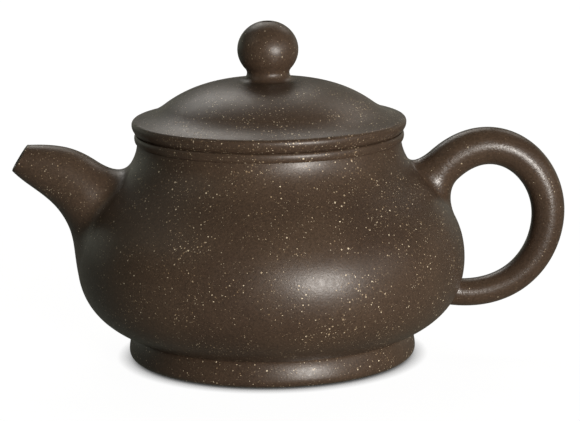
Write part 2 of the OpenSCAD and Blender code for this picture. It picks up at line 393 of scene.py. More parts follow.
class NodesTool:
    """Geometry Nodes tree that is run once on an object and leaves a plain mesh."""

    title = "tool"

    def __init__(self) -> None:
        """Makes the tree with its named inputs and its ending."""
        self.tree = bpy.data.node_groups.new(self.title, "GeometryNodeTree")
        self.inputs: dict[str, str] = {}
        self.socket("Geometry", "NodeSocketGeometry")
        self.tree.interface.new_socket(name="Geometry", in_out="OUTPUT", socket_type="NodeSocketGeometry")
        self.build()

    def socket(self, name: str, kind: str, value: Any = None) -> None:
        """Adds a named input to the tree.

        Args:
            name: Name of the input.
            kind: Blender's name for its type.
            value: Value that it starts from, where it has one.
        """
        item = self.tree.interface.new_socket(name=name, in_out="INPUT", socket_type=kind)
        if value is not None:
            item.default_value = value
        self.inputs[name] = item.identifier

    def build(self) -> None:
        """Fills the tree. Each tool has its own way."""
        raise NotImplementedError

    def end(self, geometry: bpy.types.NodeSocket, clay: bpy.types.NodeSocket) -> None:
        """Ends the tree: smooth shading, real geometry, material.

        Args:
            geometry: Socket that holds the finished geometry.
            clay: Socket that holds the material.
        """
        smooth = add_node(self.tree, "GeometryNodeSetShadeSmooth", {"Geometry": geometry})
        real = add_node(self.tree, "GeometryNodeRealizeInstances", {"Geometry": smooth.outputs["Geometry"]})
        painted = add_node(
            self.tree, "GeometryNodeSetMaterial", {"Geometry": real.outputs["Geometry"], "Material": clay}
        )
        add_node(self.tree, "NodeGroupOutput", {"Geometry": painted.outputs["Geometry"]})

    def apply(self, mesh: bpy.types.Mesh, name: str, **values: Any) -> bpy.types.Mesh:
        """Runs the tree on a mesh.

        Args:
            mesh: Mesh that goes in.
            name: Name of the mesh that comes out.
            **values: Values of the named inputs, with an underscore for a space.

        Returns:
            The plain mesh that comes out.
        """
        carrier = mesh_object(name + "_carrier", mesh)
        run = carrier.modifiers.new(self.title, "NODES")
        run.node_group = self.tree
        for key, value in values.items():
            run[self.inputs[key.replace("_", " ")]] = value
        seen = bpy.context.evaluated_depsgraph_get()
        made = bpy.data.meshes.new_from_object(carrier.evaluated_get(seen))
        made.name = name
        carrier.modifiers.remove(run)
        bpy.data.objects.remove(carrier)
        bpy.data.meshes.remove(mesh)
        return made


class RingTool(NodesTool):
    """Lays a ring at each point of a path and joins them: a potter's wheel and a rolled coil in one."""

    title = "rings_along_a_path"
    wheel_around = 256

    def build(self) -> None:
        """Fills the tree: a grid whose rows are placed on the rings, with its seam and poles merged."""
        self.socket("Around", "NodeSocketInt", self.wheel_around)
        self.socket("Merge", "NodeSocketFloat", SEAM_WELD)
        self.socket("Clay", "NodeSocketMaterial")
        tree = self.tree
        given = add_node(tree, "NodeGroupInput").outputs
        path = given["Geometry"]
        size = add_node(
            tree, "GeometryNodeAttributeDomainSize", {"Geometry": path}, component="MESH"
        )
        row = self.counted("ADD", given["Around"], 1)
        grid = add_node(
            tree, "GeometryNodeMeshGrid", {"Vertices X": size.outputs["Point Count"], "Vertices Y": row}
        )
        index = add_node(tree, "GeometryNodeInputIndex").outputs[0]
        ring = self.counted("DIVIDE_FLOOR", index, row)
        place = self.counted("MODULO", index, row)
        share = maths(tree, "DIVIDE", place, given["Around"])
        angle = maths(tree, "MULTIPLY", share, math.tau)
        total = self.sampled(path, ring, add_node(tree, "GeometryNodeInputPosition").outputs[0])
        for name, wave in (("across", "COSINE"), ("upright", "SINE")):
            arm = add_node(
                tree, "GeometryNodeInputNamedAttribute", {"Name": name}, data_type="FLOAT_VECTOR"
            )
            reach = self.sampled(path, ring, arm.outputs["Attribute"])
            turn = maths(tree, wave, angle)
            swung = add_node(
                tree, "ShaderNodeVectorMath", {"Vector": reach, "Scale": turn}, operation="SCALE"
            )
            total = add_node(tree, "ShaderNodeVectorMath", {0: total, 1: swung.outputs[0]}).outputs[0]
        placed = add_node(
            tree, "GeometryNodeSetPosition", {"Geometry": grid.outputs["Mesh"], "Position": total}
        )
        merged = add_node(
            tree,
            "GeometryNodeMergeByDistance",
            {"Geometry": placed.outputs["Geometry"], "Distance": given["Merge"]},
        )
        self.end(merged.outputs["Geometry"], given["Clay"])

    def counted(self, operation: str, first: Any, second: Any) -> Socket:
        """Adds a node that works on two whole numbers.

        Args:
            operation: Blender's name for what it does.
            first: First number or socket.
            second: Second number or socket.

        Returns:
            The result.
        """
        inputs = {0: first, 1: second}
        node = add_node(self.tree, "FunctionNodeIntegerMath", inputs, operation=operation)
        return node.outputs[0]

    def sampled(self, path: Socket, ring: Socket, value: Socket) -> Socket:
        """Reads a value of the path at a ring's number.

        Args:
            path: The path.
            ring: Number of the ring.
            value: Field that is read.

        Returns:
            The value at that ring.
        """
        node = add_node(
            self.tree,
            "GeometryNodeSampleIndex",
            {"Geometry": path, "Value": value, "Index": ring},
            data_type="FLOAT_VECTOR",
            domain="POINT",
        )
        return node.outputs["Value"]

    def sweep(
        self,
        name: str,
        middles: Points,
        across: Points,
        upright: Points,
        clay: bpy.types.Material,
        around: int = wheel_around,
    ) -> bpy.types.Mesh:
        """Makes the skin over a list of rings.

        Args:
            name: Name of the mesh.
            middles: Middle of each ring in millimetres.
            across: Arm from the middle to the ring's first point.
            upright: Arm a quarter turn further.
            clay: Finish.
            around: Points round each ring.

        Returns:
            The mesh, in metres.
        """
        path = bpy.data.meshes.new(name + "_path")
        path.from_pydata([tuple(p) for p in middles * MM], [], [])
        for key, arms in (("across", across), ("upright", upright)):
            data = path.attributes.new(key, "FLOAT_VECTOR", "POINT")
            data.data.foreach_set("vector", (arms * MM).astype(np.float32).ravel())
        return self.apply(path, name, Around=around, Merge=SEAM_WELD, Clay=clay)

    def turned(
        self, name: str, outline: Outline, clay: bpy.types.Material, poled: bool = False
    ) -> bpy.types.Mesh:
        """Turns a closed outline round the pot's axis.

        Args:
            name: Name of the mesh.
            outline: Outline as radius and height.
            clay: Finish.
            poled: Whether the outline starts and ends on the axis.

        Returns:
            The closed mesh, in metres.
        """
        loop = outline.points(poled)
        none = np.zeros(len(loop))
        middles = np.stack([none, none, loop[:, 1]], axis=1)
        across = np.stack([loop[:, 0], none, none], axis=1)
        upright = np.stack([none, loop[:, 0], none], axis=1)
        return finished(self.sweep(name, middles, across, upright, clay))


class PerforationTool(NodesTool):
    """Pushes rings of round holes through a wall that lies across Z, as a needle through a strainer."""

    title = "perforations"
    holes_a_ring = 6
    needle_sides = 24

    def build(self) -> None:
        """Fills the tree: a hole in the middle, then six and twelve round it, cut out of the wall."""
        self.socket("Hole Radius", "NodeSocketFloat", 0.85 * MM)
        self.socket("Ring Step", "NodeSocketFloat", 2.3 * MM)
        self.socket("Depth", "NodeSocketFloat", 30 * MM)
        self.socket("Clay", "NodeSocketMaterial")
        tree = self.tree
        given = add_node(tree, "NodeGroupInput").outputs
        rings = [add_node(tree, "GeometryNodeMeshLine", {"Count": 1}).outputs["Mesh"]]
        for ring in (1, 2):
            reach = maths(tree, "MULTIPLY", given["Ring Step"], float(ring))
            circle = add_node(
                tree, "GeometryNodeMeshCircle", {"Vertices": self.holes_a_ring * ring, "Radius": reach}
            )
            rings.append(circle.outputs["Mesh"])
        places = add_node(tree, "GeometryNodeJoinGeometry")
        for points in reversed(rings):
            tree.links.new(points, places.inputs[0])
        needle = add_node(
            tree,
            "GeometryNodeMeshCylinder",
            {"Vertices": self.needle_sides, "Radius": given["Hole Radius"], "Depth": given["Depth"]},
        )
        pushed = add_node(
            tree,
            "GeometryNodeInstanceOnPoints",
            {"Points": places.outputs[0], "Instance": needle.outputs["Mesh"]},
        )
        real = add_node(tree, "GeometryNodeRealizeInstances", {"Geometry": pushed.outputs["Instances"]})
        cut = add_node(tree, "GeometryNodeMeshBoolean", operation="DIFFERENCE", solver="EXACT")
        tree.links.new(given["Geometry"], cut.inputs["Mesh 1"])
        tree.links.new(real.outputs["Geometry"], cut.inputs["Mesh 2"])
        self.end(cut.outputs["Mesh"], given["Clay"])


def in_metres(place: Matrix) -> Matrix:
    """Turns the shift of a placing from millimetres to metres.

    Args:
        place: Placing with its shift in millimetres.

    Returns:
        The same placing with its shift in metres.
    """
    moved = place.copy()
    moved.translation = place.translation * MM
    return moved


def carved(mesh: bpy.types.Mesh, cutter: bpy.types.Mesh, clay: bpy.types.Material) -> bpy.types.Mesh:
    """Cuts one closed mesh out of another.

    Args:
        mesh: Mesh that is cut.
        cutter: Mesh that is taken away.
        clay: Finish of the cut mesh.

    Returns:
        What is left.
    """
    name = mesh.name
    kept, taken = mesh_object("kept", mesh), mesh_object("taken", cutter)
    cut = kept.modifiers.new("cut", "BOOLEAN")
    cut.operation, cut.solver, cut.object = "DIFFERENCE", "EXACT", taken
    seen = bpy.context.evaluated_depsgraph_get()
    made = bpy.data.meshes.new_from_object(kept.evaluated_get(seen))
    for used in (kept, taken):
        spent = used.data
        bpy.data.objects.remove(used)
        bpy.data.meshes.remove(spent)
    made.name = name
    made.materials.clear()
    made.materials.append(clay)
    return made


def joined(parts: list[bpy.types.Mesh], clay: bpy.types.Material, name: str) -> bpy.types.Mesh:
    """Welds open skins that share their edges into one closed mesh.

    Args:
        parts: Skins that meet ring to ring.
        clay: Finish of the whole.
        name: Name of the mesh.

    Returns:
        The closed mesh.
    """
    work = bmesh.new()
    for part in parts:
        work.from_mesh(part)
        bpy.data.meshes.remove(part)
    bmesh.ops.remove_doubles(work, verts=work.verts, dist=SKIN_WELD)
    bmesh.ops.recalc_face_normals(work, faces=work.faces)
    mesh = bpy.data.meshes.new(name)
    work.to_mesh(mesh)
    work.free()
    mesh.materials.clear()
    mesh.materials.append(clay)
    return finished(mesh)


def unit(v: Points) -> Points:
    """The same direction, one long."""
    return v / np.linalg.norm(v, axis=-1, keepdims=True)


def pulled(a: Points, pull_a: Points, b: Points, pull_b: Points, u: float) -> Points:
    """Finds a place on the smooth way from one point to another.

    Args:
        a: Point that the way leaves.
        pull_a: Direction and speed there.
        b: Point that it arrives at.
        pull_b: Direction and speed there.
        u: Share of the way.

    Returns:
        The place.
    """
    return (
        (2 * u ** 3 - 3 * u * u + 1) * a
        + (u ** 3 - 2 * u * u + u) * pull_a
        + (3 * u * u - 2 * u ** 3) * b
        + (u ** 3 - u * u) * pull_b
    )


def ring_angles(around: int) -> Points:
    """Angles of the points round a ring, as a column."""
    return (np.arange(around) * math.tau / around)[:, None]


def section(middle: Points, half: Points, width: float, angle: Points) -> Points:
    """Oval ring that lies across the plane of spout and handle.

    Args:
        middle: Middle of the ring, as X and Z.
        half: Arm of the ring in that plane, as X and Z.
        width: Half width of the ring along Y.
        angle: Angles round the ring, as a column.

    Returns:
        The points of the ring.
    """
    turn = np.sin(angle)
    along, up = middle[0] + half[0] * turn, middle[1] + half[1] * turn
    return np.concatenate([along, width * np.cos(angle), up], axis=1)


def round_section(middle: Points, half: Points, angle: Points) -> Points:
    """Section as wide as its arm is long, with its angles counted the other way round."""
    return section(middle, half, -float(np.linalg.norm(half)), angle)


# ---------------------------------------------------------------- finishes


class Grain(Enum):
    """How the pale sand lies in the clay: how many grains and how wide, against what the specks say."""

    COARSE = (0.92, 0.97)
    CROWDED = (1.8, 0.95)
    FINE = (1.2, 0.8)
    SPARSE = (0.5, 0.68)

    @property
    def share(self) -> float:
        """Number of grains against the specks' own."""
        return self.value[0]

    @property
    def size(self) -> float:
        """Width of the grains against the specks' own."""
        return self.value[1]


@dataclass(frozen=True)
class Speck:
    """One size of sand grain in the clay.

    The spacing, the smallest and largest radius and the shift of the pattern are in millimetres. The
    share is how many places hold a grain, and the strength how pale the palest of them is.
    """

    spacing: float
    smallest: float
    largest: float
    share: float
    strength: float
    shift: float


@dataclass(frozen=True)
class SandedStoneware:
    """Unglazed iron-brown stoneware, wiped and burnished at leather hardness and fired once.

    The eye gets a satin, faintly grainy skin, almost black where it turns away, with ochre sand grains
    a tenth to half a millimetre wide in loose clusters. Sizes and heights are in millimetres. A span is
    the stretch of a noise that counts. Gathering and mottling are what its two ends become.
    """

    name: str
    grain: Grain = Grain.COARSE
    dark: str = "#45362b"
    light: str = "#504033"
    sand: str = "#d2b083"
    pale_sand: str = "#f6e6c8"
    roughness: float = 0.38
    unevenness: float = 0.05
    tooth: float = 1.0
    cloud_size: float = 26.0
    wave_size: float = 14.0
    cluster_size: float = 9.0
    sheen_size: float = 1.3
    mottle_size: float = 0.55
    wave_height: float = 0.10
    tooth_height: float = 0.037
    grain_height: float = 0.006
    grain_edge: float = 0.05
    grain_rarity: float = 1.3
    grain_faintest: float = 0.3
    noise_span: tuple[float, float] = (0.3, 0.7)
    cloud_span: tuple[float, float] = (0.35, 0.65)
    gathering: tuple[float, float] = (0.55, 1.25)
    mottling: tuple[float, float] = (0.72, 1.3)
    refraction: float = 1.5
    specks: tuple[Speck, ...] = (
        Speck(0.85, 0.09, 0.25, 0.60, 1.00, 0.0),
        Speck(0.55, 0.06, 0.15, 0.55, 0.90, 31.7),
        Speck(0.40, 0.04, 0.09, 0.55, 0.70, 77.3),
    )

    def build(self) -> bpy.types.Material:
        """Makes the material's nodes on Object coordinates, which are metres here.

        Returns:
            The material.
        """
        material = bpy.data.materials.new(self.name)
        material.use_nodes = True
        tree = material.node_tree
        tree.nodes.clear()
        place = add_node(tree, "ShaderNodeTexCoord").outputs["Object"]
        colour = self.body(tree, place)
        cluster = self.noise(tree, place, self.cluster_size, detail=2.0)
        gathered = ranged(tree, cluster, self.noise_span, self.gathering)
        sanded: Socket | None = None
        for speck in self.specks:
            colour, mask = self.strewn(tree, place, colour, gathered, speck)
            sanded = mask if sanded is None else maths(tree, "MAXIMUM", sanded, mask)
        rough = (self.roughness - self.unevenness, self.roughness + self.unevenness)
        sheen = ranged(tree, self.noise(tree, place, self.sheen_size, detail=3.0), self.noise_span, rough)
        relief = self.skin_bump(tree, place, sanded)
        shader = add_node(
            tree,
            "ShaderNodeBsdfPrincipled",
            {"Base Color": colour, "Roughness": sheen, "IOR": self.refraction, "Normal": relief},
        )
        add_node(tree, "ShaderNodeOutputMaterial", {"Surface": shader.outputs[0]})
        return material

    def noise(self, tree: Tree, place: Socket, size: float, detail: float) -> Socket:
        """Adds a cloudy pattern.

        Args:
            tree: Tree of the material.
            place: Coordinates.
            size: Width of its clouds in millimetres.
            detail: How many finer layers it has.

        Returns:
            The pattern.
        """
        inputs = {"Vector": place, "Scale": 1 / (size * MM), "Detail": detail, "Roughness": 0.6}
        node = add_node(tree, "ShaderNodeTexNoise", inputs)
        return node.outputs[0]

    def body(self, tree: Tree, place: Socket) -> Socket:
        """Clay without its sand: broad clouds of firing colour and a fine mottle of mixed clays.

        Args:
            tree: Tree of the material.
            place: Coordinates.

        Returns:
            The colour.
        """
        cloud = ranged(tree, self.noise(tree, place, self.cloud_size, detail=3.0), self.cloud_span)
        tone = blended(tree, cloud, linear(self.dark), linear(self.light))
        grainy = self.noise(tree, place, self.mottle_size, detail=3.0)
        mottle = ranged(tree, grainy, self.noise_span, self.mottling)
        return add_node(
            tree, "ShaderNodeVectorMath", {0: tone, "Scale": mottle}, operation="SCALE"
        ).outputs[0]

    def strewn(
        self, tree: Tree, place: Socket, colour: Socket, gathered: Socket, speck: Speck
    ) -> tuple[Socket, Socket]:
        """Strews one size of sand over the colour.

        Args:
            tree: Tree of the material.
            place: Coordinates.
            colour: Colour underneath.
            gathered: Cluster pattern, about 1, that makes grains larger where it is high.
            speck: Size and share of the grains.

        Returns:
            The new colour and the mask of the grains.
        """
        shift = (speck.shift * MM,) * 3
        moved = add_node(tree, "ShaderNodeVectorMath", {0: place, 1: shift}, operation="ADD").outputs[0]
        cells = add_node(tree, "ShaderNodeTexVoronoi", {"Vector": moved, "Scale": 1 / (speck.spacing * MM)})
        chance = add_node(tree, "ShaderNodeSeparateColor", {0: cells.outputs["Color"]}).outputs
        wide = self.grain.size / speck.spacing
        size = ranged(tree, chance[0], (0.0, 1.0), (wide * speck.smallest, wide * speck.largest))
        size = maths(tree, "MULTIPLY", size, gathered)
        inside = maths(tree, "SUBTRACT", size, cells.outputs["Distance"])
        edge = maths(tree, "MULTIPLY", inside, speck.spacing / self.grain_edge, clamped=True)
        kept = maths(tree, "LESS_THAN", chance[1], speck.share * self.grain.share)
        paleness = maths(tree, "POWER", chance[2], self.grain_rarity)
        glow = ranged(tree, paleness, (0.0, 1.0), (self.grain_faintest * speck.strength, speck.strength))
        mask = maths(tree, "MULTIPLY", edge, kept)
        shown = maths(tree, "MULTIPLY", mask, glow)
        sand = blended(tree, chance[2], linear(self.sand), linear(self.pale_sand))
        return blended(tree, shown, colour, sand), mask

    def skin_bump(self, tree: Tree, place: Socket, sanded: Socket) -> Socket:
        """Relief of the skin: slow waves of the hand, a fine tooth, and grains that stand a little proud.

        Args:
            tree: Tree of the material.
            place: Coordinates.
            sanded: Mask of the grains.

        Returns:
            The bent normal.
        """
        layers = (
            (self.noise(tree, place, self.wave_size, detail=1.0), self.wave_height),
            (self.noise(tree, place, self.mottle_size, detail=3.0), self.tooth_height * self.tooth),
            (sanded, self.grain_height * self.tooth),
        )
        normal: dict[str, Socket] = {}
        for height, tall in layers:
            inputs = {"Height": height, "Strength": 1.0, "Distance": tall * MM, **normal}
            normal = {"Normal": add_node(tree, "ShaderNodeBump", inputs).outputs[0]}
        return normal["Normal"]


# ---------------------------------------------------------------- sub-assemblies
#
# The bare shares in a Bezier say how far its two inner corners lie along the size that they multiply.


@dataclass(frozen=True)
class Root:
    """Patch of the pot's outside that a luted-on piece grows out of.

    Place and half length run along the pot's outline, where 0 to 1 is the low curve and 1 to 2 the high
    one. The half width is in degrees round the pot. The side is -1 for the spout's and 1 for the handle's.
    """

    place: float
    half_length: float
    half_width: float
    side: int


@dataclass
class Piece:
    """Finished piece: its mesh, the construction node it stands for, its body and its clay."""

    name: str
    mesh: bpy.types.Mesh
    node: str
    body: str
    slot: str

    def place(self) -> bpy.types.Object:
        """Puts the piece into the frame, where its node was.

        Returns:
            The piece as an object.
        """
        made = mesh_object(self.name, self.mesh)
        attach(made, self.body)
        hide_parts(self.node)
        LOG.info("%s: %d faces, for %s", self.name, len(self.mesh.polygons), self.node)
        return made


@dataclass
class PotBody:
    """The turned pot: base, foot, belly, shoulder, neck and mouth.

    Sizes are in millimetres. A share is the place on the outline's curve where two pieces meet.
    """

    clay: bpy.types.Material
    tool: RingTool
    belly_r: float = 52.0
    belly_z: float = 26.7
    rim_z: float = 60.8
    neck_r: float = 35.2
    wall: float = 3.0
    foot_r: float = 38.6
    foot_h: float = 7.2
    foot_step: float = 1.3
    foot_t: float = 3.2
    base_t: float = 3.2
    recess: float = 4.4
    lip_w: float = 4.8
    lip_h: float = 2.5
    shoulder_share: float = 0.6
    neck_share: float = 0.86
    cove_share: float = 0.136
    neck_z: float = field(init=False)
    mouth_r: float = field(init=False)
    seam_r: float = field(init=False)
    cove_r: float = field(init=False)
    seat_r: float = field(init=False)
    seat_z: float = field(init=False)
    low: Bezier = field(init=False)
    high: Bezier = field(init=False)
    cove: Bezier = field(init=False)
    disc_r: float = field(init=False)
    upwards: Points = field(init=False)

    def __post_init__(self) -> None:
        """Works out the curves of the outside from the sizes."""
        self.neck_z = self.rim_z - self.lip_h
        self.mouth_r = self.neck_r - self.lip_w
        self.seam_r = self.neck_r + 0.1 * self.lip_h
        self.cove_r = self.foot_r - self.foot_step
        self.seat_r = self.cove_r - 0.034 * self.foot_h
        self.seat_z = 0.92 * self.foot_h
        rise = self.belly_z - self.seat_z
        tall = self.neck_z - self.belly_z
        self.low = Bezier(
            (self.seat_r, self.seat_z),
            (self.seat_r + 0.189 * (self.belly_r - self.seat_r), self.seat_z + 0.091 * rise),
            (self.belly_r, self.belly_z - 0.74 * rise),
            (self.belly_r, self.belly_z),
        )
        self.high = Bezier(
            (self.belly_r, self.belly_z),
            (self.belly_r, self.belly_z + 0.533 * tall),
            (self.neck_r + 0.051 * (self.belly_r - self.neck_r), self.neck_z - 0.352 * tall),
            (self.neck_r, self.neck_z),
        )
        end, slope = self.low.point(self.cove_share), unit(self.low.step(self.cove_share))
        pull = 0.45 * math.hypot(end[0] - self.cove_r, end[1] - self.foot_h)
        upright, arrive = (self.cove_r, self.foot_h + pull), tuple(end - pull * slope)
        self.cove = Bezier((self.cove_r, self.foot_h), upright, arrive, tuple(end))
        self.disc_r = float(self.low.beside(0.0, self.wall)[0])
        lower, upper = self.low.point(np.linspace(0, 1, 200)), self.high.point(np.linspace(0, 1, 300))
        self.upwards = np.concatenate([lower, upper[1:]])

    def outside(self, place: Points, sink: float) -> Points:
        """Finds places on the pot's outside.

        Args:
            place: Places along the outline, from 0 at its foot over 1 at its widest to 2 at its neck.
            sink: Depth under the surface.

        Returns:
            Radius and height of each place.
        """
        place = np.asarray(place, float)
        below = self.low.beside(np.clip(place, 0, 1), sink)
        above = self.high.beside(np.clip(place - 1, 0, 1), sink)
        return np.where(place[..., None] < 1, below, above)

    def on_root(self, root: Root, angle: Points, share: float, sink: float) -> Points:
        """Points round a root on the pot's outside.

        Args:
            root: The patch.
            angle: Angles round it, as a column.
            share: 1 for its edge, less for a ring nearer its middle.
            sink: Depth under the surface.

        Returns:
            One point for each angle.
        """
        spot = self.outside(root.place + share * root.half_length * np.sin(angle[:, 0]), sink)
        swing = np.radians(share * root.half_width * np.cos(angle[:, 0]))
        reach, height = root.side * spot[:, 0], spot[:, 1]
        return np.stack([reach * np.cos(swing), reach * np.sin(swing), height], axis=1)

    def root_pull(self, root: Root, angle: Points, sink: float) -> Points:
        """Finds the way along the pot's outside from a root's edge towards its middle.

        Args:
            root: The patch.
            angle: Angles round it, as a column.
            sink: Depth under the surface.

        Returns:
            Direction and speed at each angle.
        """
        little = 0.02
        edge, nearer = (self.on_root(root, angle, share, sink) for share in (1.0, 1 - little))
        return (nearer - edge) / little

    def radius_at(self, height: Points) -> Points:
        """Outside radius of the pot at a height."""
        return np.interp(height, self.upwards[:, 1], self.upwards[:, 0])

    def settled(self, points: Points, sink: float) -> Points:
        """Moves points straight in or out until they lie on the pot's outside.

        Args:
            points: Points near the outside.
            sink: Depth under the surface.

        Returns:
            The moved points.
        """
        radius = np.hypot(points[:, 0], points[:, 1])
        factor = (self.radius_at(points[:, 2]) - sink) / radius
        return np.stack([points[:, 0] * factor, points[:, 1] * factor, points[:, 2]], axis=1)

    def base(self) -> bpy.types.Mesh:
        """Flat disc that the wall is luted round.

        Returns:
            The closed mesh.
        """
        top = self.recess + self.base_t
        outline = Outline().add(line((0, self.recess), (self.disc_r, self.recess)))
        outline.add(line((self.disc_r, self.recess), (self.disc_r, top)))
        outline.add(line((self.disc_r, top), (0, top)))
        return self.tool.turned("base_disc_mesh", outline, self.clay, poled=True)

    def foot(self) -> bpy.types.Mesh:
        """Rounded foot ring under the edge of the base.

        Returns:
            The closed mesh.
        """
        h, r, inner = self.foot_h, self.foot_r, self.disc_r - self.foot_t
        wide_z, stand_r = 0.33 * h, r - 0.62 * h
        chamfer_r, chamfer_z = self.disc_r - 0.71 * self.foot_t, 0.29 * self.foot_t
        low = Bezier((stand_r, 0), (r - 0.15 * h, 0), (r, 0.1 * h), (r, wide_z))
        drawn_in = r - 0.31 * self.foot_step
        high = Bezier((r, wide_z), (r, 0.445 * h), (drawn_in, 0.847 * h), (self.cove_r, h))
        outline = Outline().add(low.run()).add(high.run())
        outline.add(line((self.cove_r, h), (self.disc_r, h)))
        outline.add(line((self.disc_r, h), (self.disc_r, self.recess)))
        outline.add(line((self.disc_r, self.recess), (inner, self.recess)))
        outline.add(line((inner, self.recess), (inner, chamfer_z)))
        outline.add(line((inner, chamfer_z), (chamfer_r, 0)), ease=0.5)
        outline.add(line((chamfer_r, 0), (stand_r, 0)), ease=0.3)
        return self.tool.turned("foot_ring_mesh", outline, self.clay)

    def belly(self, hole: Matrix, hole_r: float) -> bpy.types.Mesh:
        """Belly wall with the hole that the strainer ball sits in.

        Args:
            hole: Place of the hole, with its axis along Z, in millimetres.
            hole_r: Radius of the hole.

        Returns:
            The mesh.
        """
        outline = Outline().add(self.cove.run(count=24))
        outline.add(self.low.run(self.cove_share, 1, count=44))
        outline.add(self.high.run(0, self.shoulder_share, count=40))
        seam, inner = self.high.point(self.shoulder_share), self.high.beside(self.shoulder_share, self.wall)
        outline.add(line(seam, inner))
        outline.add(self.high.run(self.shoulder_share, 0, self.wall, count=24))
        outline.add(self.low.run(1, 0, self.wall, count=24))
        ledge = (self.disc_r, self.foot_h), (self.cove_r, self.foot_h)
        outline.add(line(self.low.beside(0, self.wall), *ledge))
        wall = self.tool.turned("belly_mesh", outline, self.clay)
        cutter = bpy.data.meshes.new("hole")
        drill = bmesh.new()
        radius, depth = hole_r * MM, 8 * self.wall * MM
        bmesh.ops.create_cone(
            drill, cap_ends=True, segments=96, radius1=radius, radius2=radius, depth=depth
        )
        drill.to_mesh(cutter)
        drill.free()
        cutter.transform(in_metres(hole))
        return finished(carved(wall, cutter, self.clay))

    def shoulder(self) -> bpy.types.Mesh:
        """Slab that closes the belly towards the neck.

        Returns:
            The closed mesh.
        """
        outline = Outline().add(self.high.run(self.shoulder_share, self.neck_share, count=24))
        outline.add(line(self.high.point(self.neck_share), self.high.beside(self.neck_share, self.wall)))
        outline.add(self.high.run(self.neck_share, self.shoulder_share, self.wall, count=14))
        seam, inner = self.high.point(self.shoulder_share), self.high.beside(self.shoulder_share, self.wall)
        outline.add(line(inner, seam))
        return self.tool.turned("shoulder_mesh", outline, self.clay)

    def neck(self) -> bpy.types.Mesh:
        """Short upright neck.

        Returns:
            The closed mesh.
        """
        inner = (self.neck_r - self.wall, self.neck_z)
        near_top = 0.96
        outline = Outline().add(self.high.run(self.neck_share, 1, count=16))
        outline.add(line((self.neck_r, self.neck_z), inner))
        outline.add(np.concatenate([[inner], self.high.run(near_top, self.neck_share, self.wall, count=10)]))
        outline.add(line(self.high.beside(self.neck_share, self.wall), self.high.point(self.neck_share)))
        return self.tool.turned("neck_mesh", outline, self.clay)

    def mouth(self) -> bpy.types.Mesh:
        """Half-round ring that the lid sits on.

        Returns:
            The closed mesh.
        """
        bulge = Bezier(
            (self.neck_r, self.neck_z),
            (self.neck_r + 0.34 * self.lip_h, self.neck_z + 0.04 * self.lip_h),
            (self.seam_r + 0.3 * self.lip_h, self.rim_z - 0.04 * self.lip_h),
            (self.seam_r, self.rim_z),
        )
        outline = Outline().add(bulge.run(count=16))
        outline.add(line((self.seam_r, self.rim_z), (self.mouth_r, self.rim_z)), ease=0.12)
        outline.add(line((self.mouth_r, self.rim_z), (self.mouth_r, self.neck_z)), ease=0.6)
        outline.add(line((self.mouth_r, self.neck_z), (self.neck_r, self.neck_z)))
        return self.tool.turned("mouth_ring_mesh", outline, self.clay)

    def build(self, hole: Matrix, hole_r: float) -> list[Piece]:
        """Makes every piece of the turned pot.

        Args:
            hole: Place of the strainer hole.
            hole_r: Its radius.

        Returns:
            The pieces, from the base up.
        """
        made = (
            ("Base_Disc", self.base(), "base_disc"),
            ("Foot_Ring", self.foot(), "foot_ring"),
            ("Belly", self.belly(hole, hole_r), "belly_wall"),
            ("Shoulder", self.shoulder(), "shoulder_slab"),
            ("Neck", self.neck(), "neck"),
            ("Mouth_Ring", self.mouth(), "mouth_ring"),
        )
        return [Piece(name, mesh, node, "pot", "pot_clay") for name, mesh, node in made]


@dataclass
class Strainer:
    """Pierced ball that keeps the leaves in the pot, pressed into the wall behind the spout.

    Sizes are in millimetres. The step between the rings of holes is a share of the ball's radius, and the
    ball's place a share of the outline's high curve.
    """

    clay: bpy.types.Material
    tool: RingTool
    needle: PerforationTool
    pot: PotBody
    ball_d: float = 14.0
    hole_d: float = 1.7
    ring_step: float = 0.328
    shell: float = 1.4
    proud: float = 0.1
    place_share: float = 0.29

    def place(self) -> Matrix:
        """Finds the place of the hole in the wall.

        Returns:
            Its placing in millimetres, with its axis along Z, outwards.
        """
        spot = self.pot.high.point(self.place_share)
        slope = self.pot.high.step(self.place_share)
        tilt = math.atan2(-slope[0], slope[1])
        return Matrix.Translation((-spot[0], 0, spot[1])) @ Matrix.Rotation(tilt - math.pi / 2, 4, "Y")

    def build(self) -> list[Piece]:
        """Turns the half ball and pushes its nineteen holes.

        Returns:
            The pieces, in the order they are made.
        """
        outer, inner = self.ball_d / 2, self.ball_d / 2 - self.shell
        collar = self.pot.wall - self.shell + self.proud
        sweep = np.linspace(math.pi / 2, 0, 33)
        down = np.stack([np.cos(sweep), -np.sin(sweep)], axis=1)
        outline = Outline().add(outer * down)
        outline.add(line((outer, 0), (outer, collar)))
        outline.add(line((outer, collar), (inner, collar)), ease=0.3)
        outline.add(line((inner, collar), (inner, 0)), ease=0.3)
        outline.add(inner * down[::-1])
        bowl = self.tool.turned("strainer_bowl", outline, self.clay, poled=True)
        mesh = self.needle.apply(
            bowl,
            "strainer_mesh",
            Hole_Radius=self.hole_d / 2 * MM,
            Ring_Step=self.ring_step * outer * MM,
            Depth=4 * outer * MM,
            Clay=self.clay,
        )
        mesh.transform(in_metres(self.place() @ Matrix.Translation((0, 0, self.proud - self.pot.wall))))
        return [Piece("Strainer", finished(mesh), "strainer", "pot", "pot_clay")]


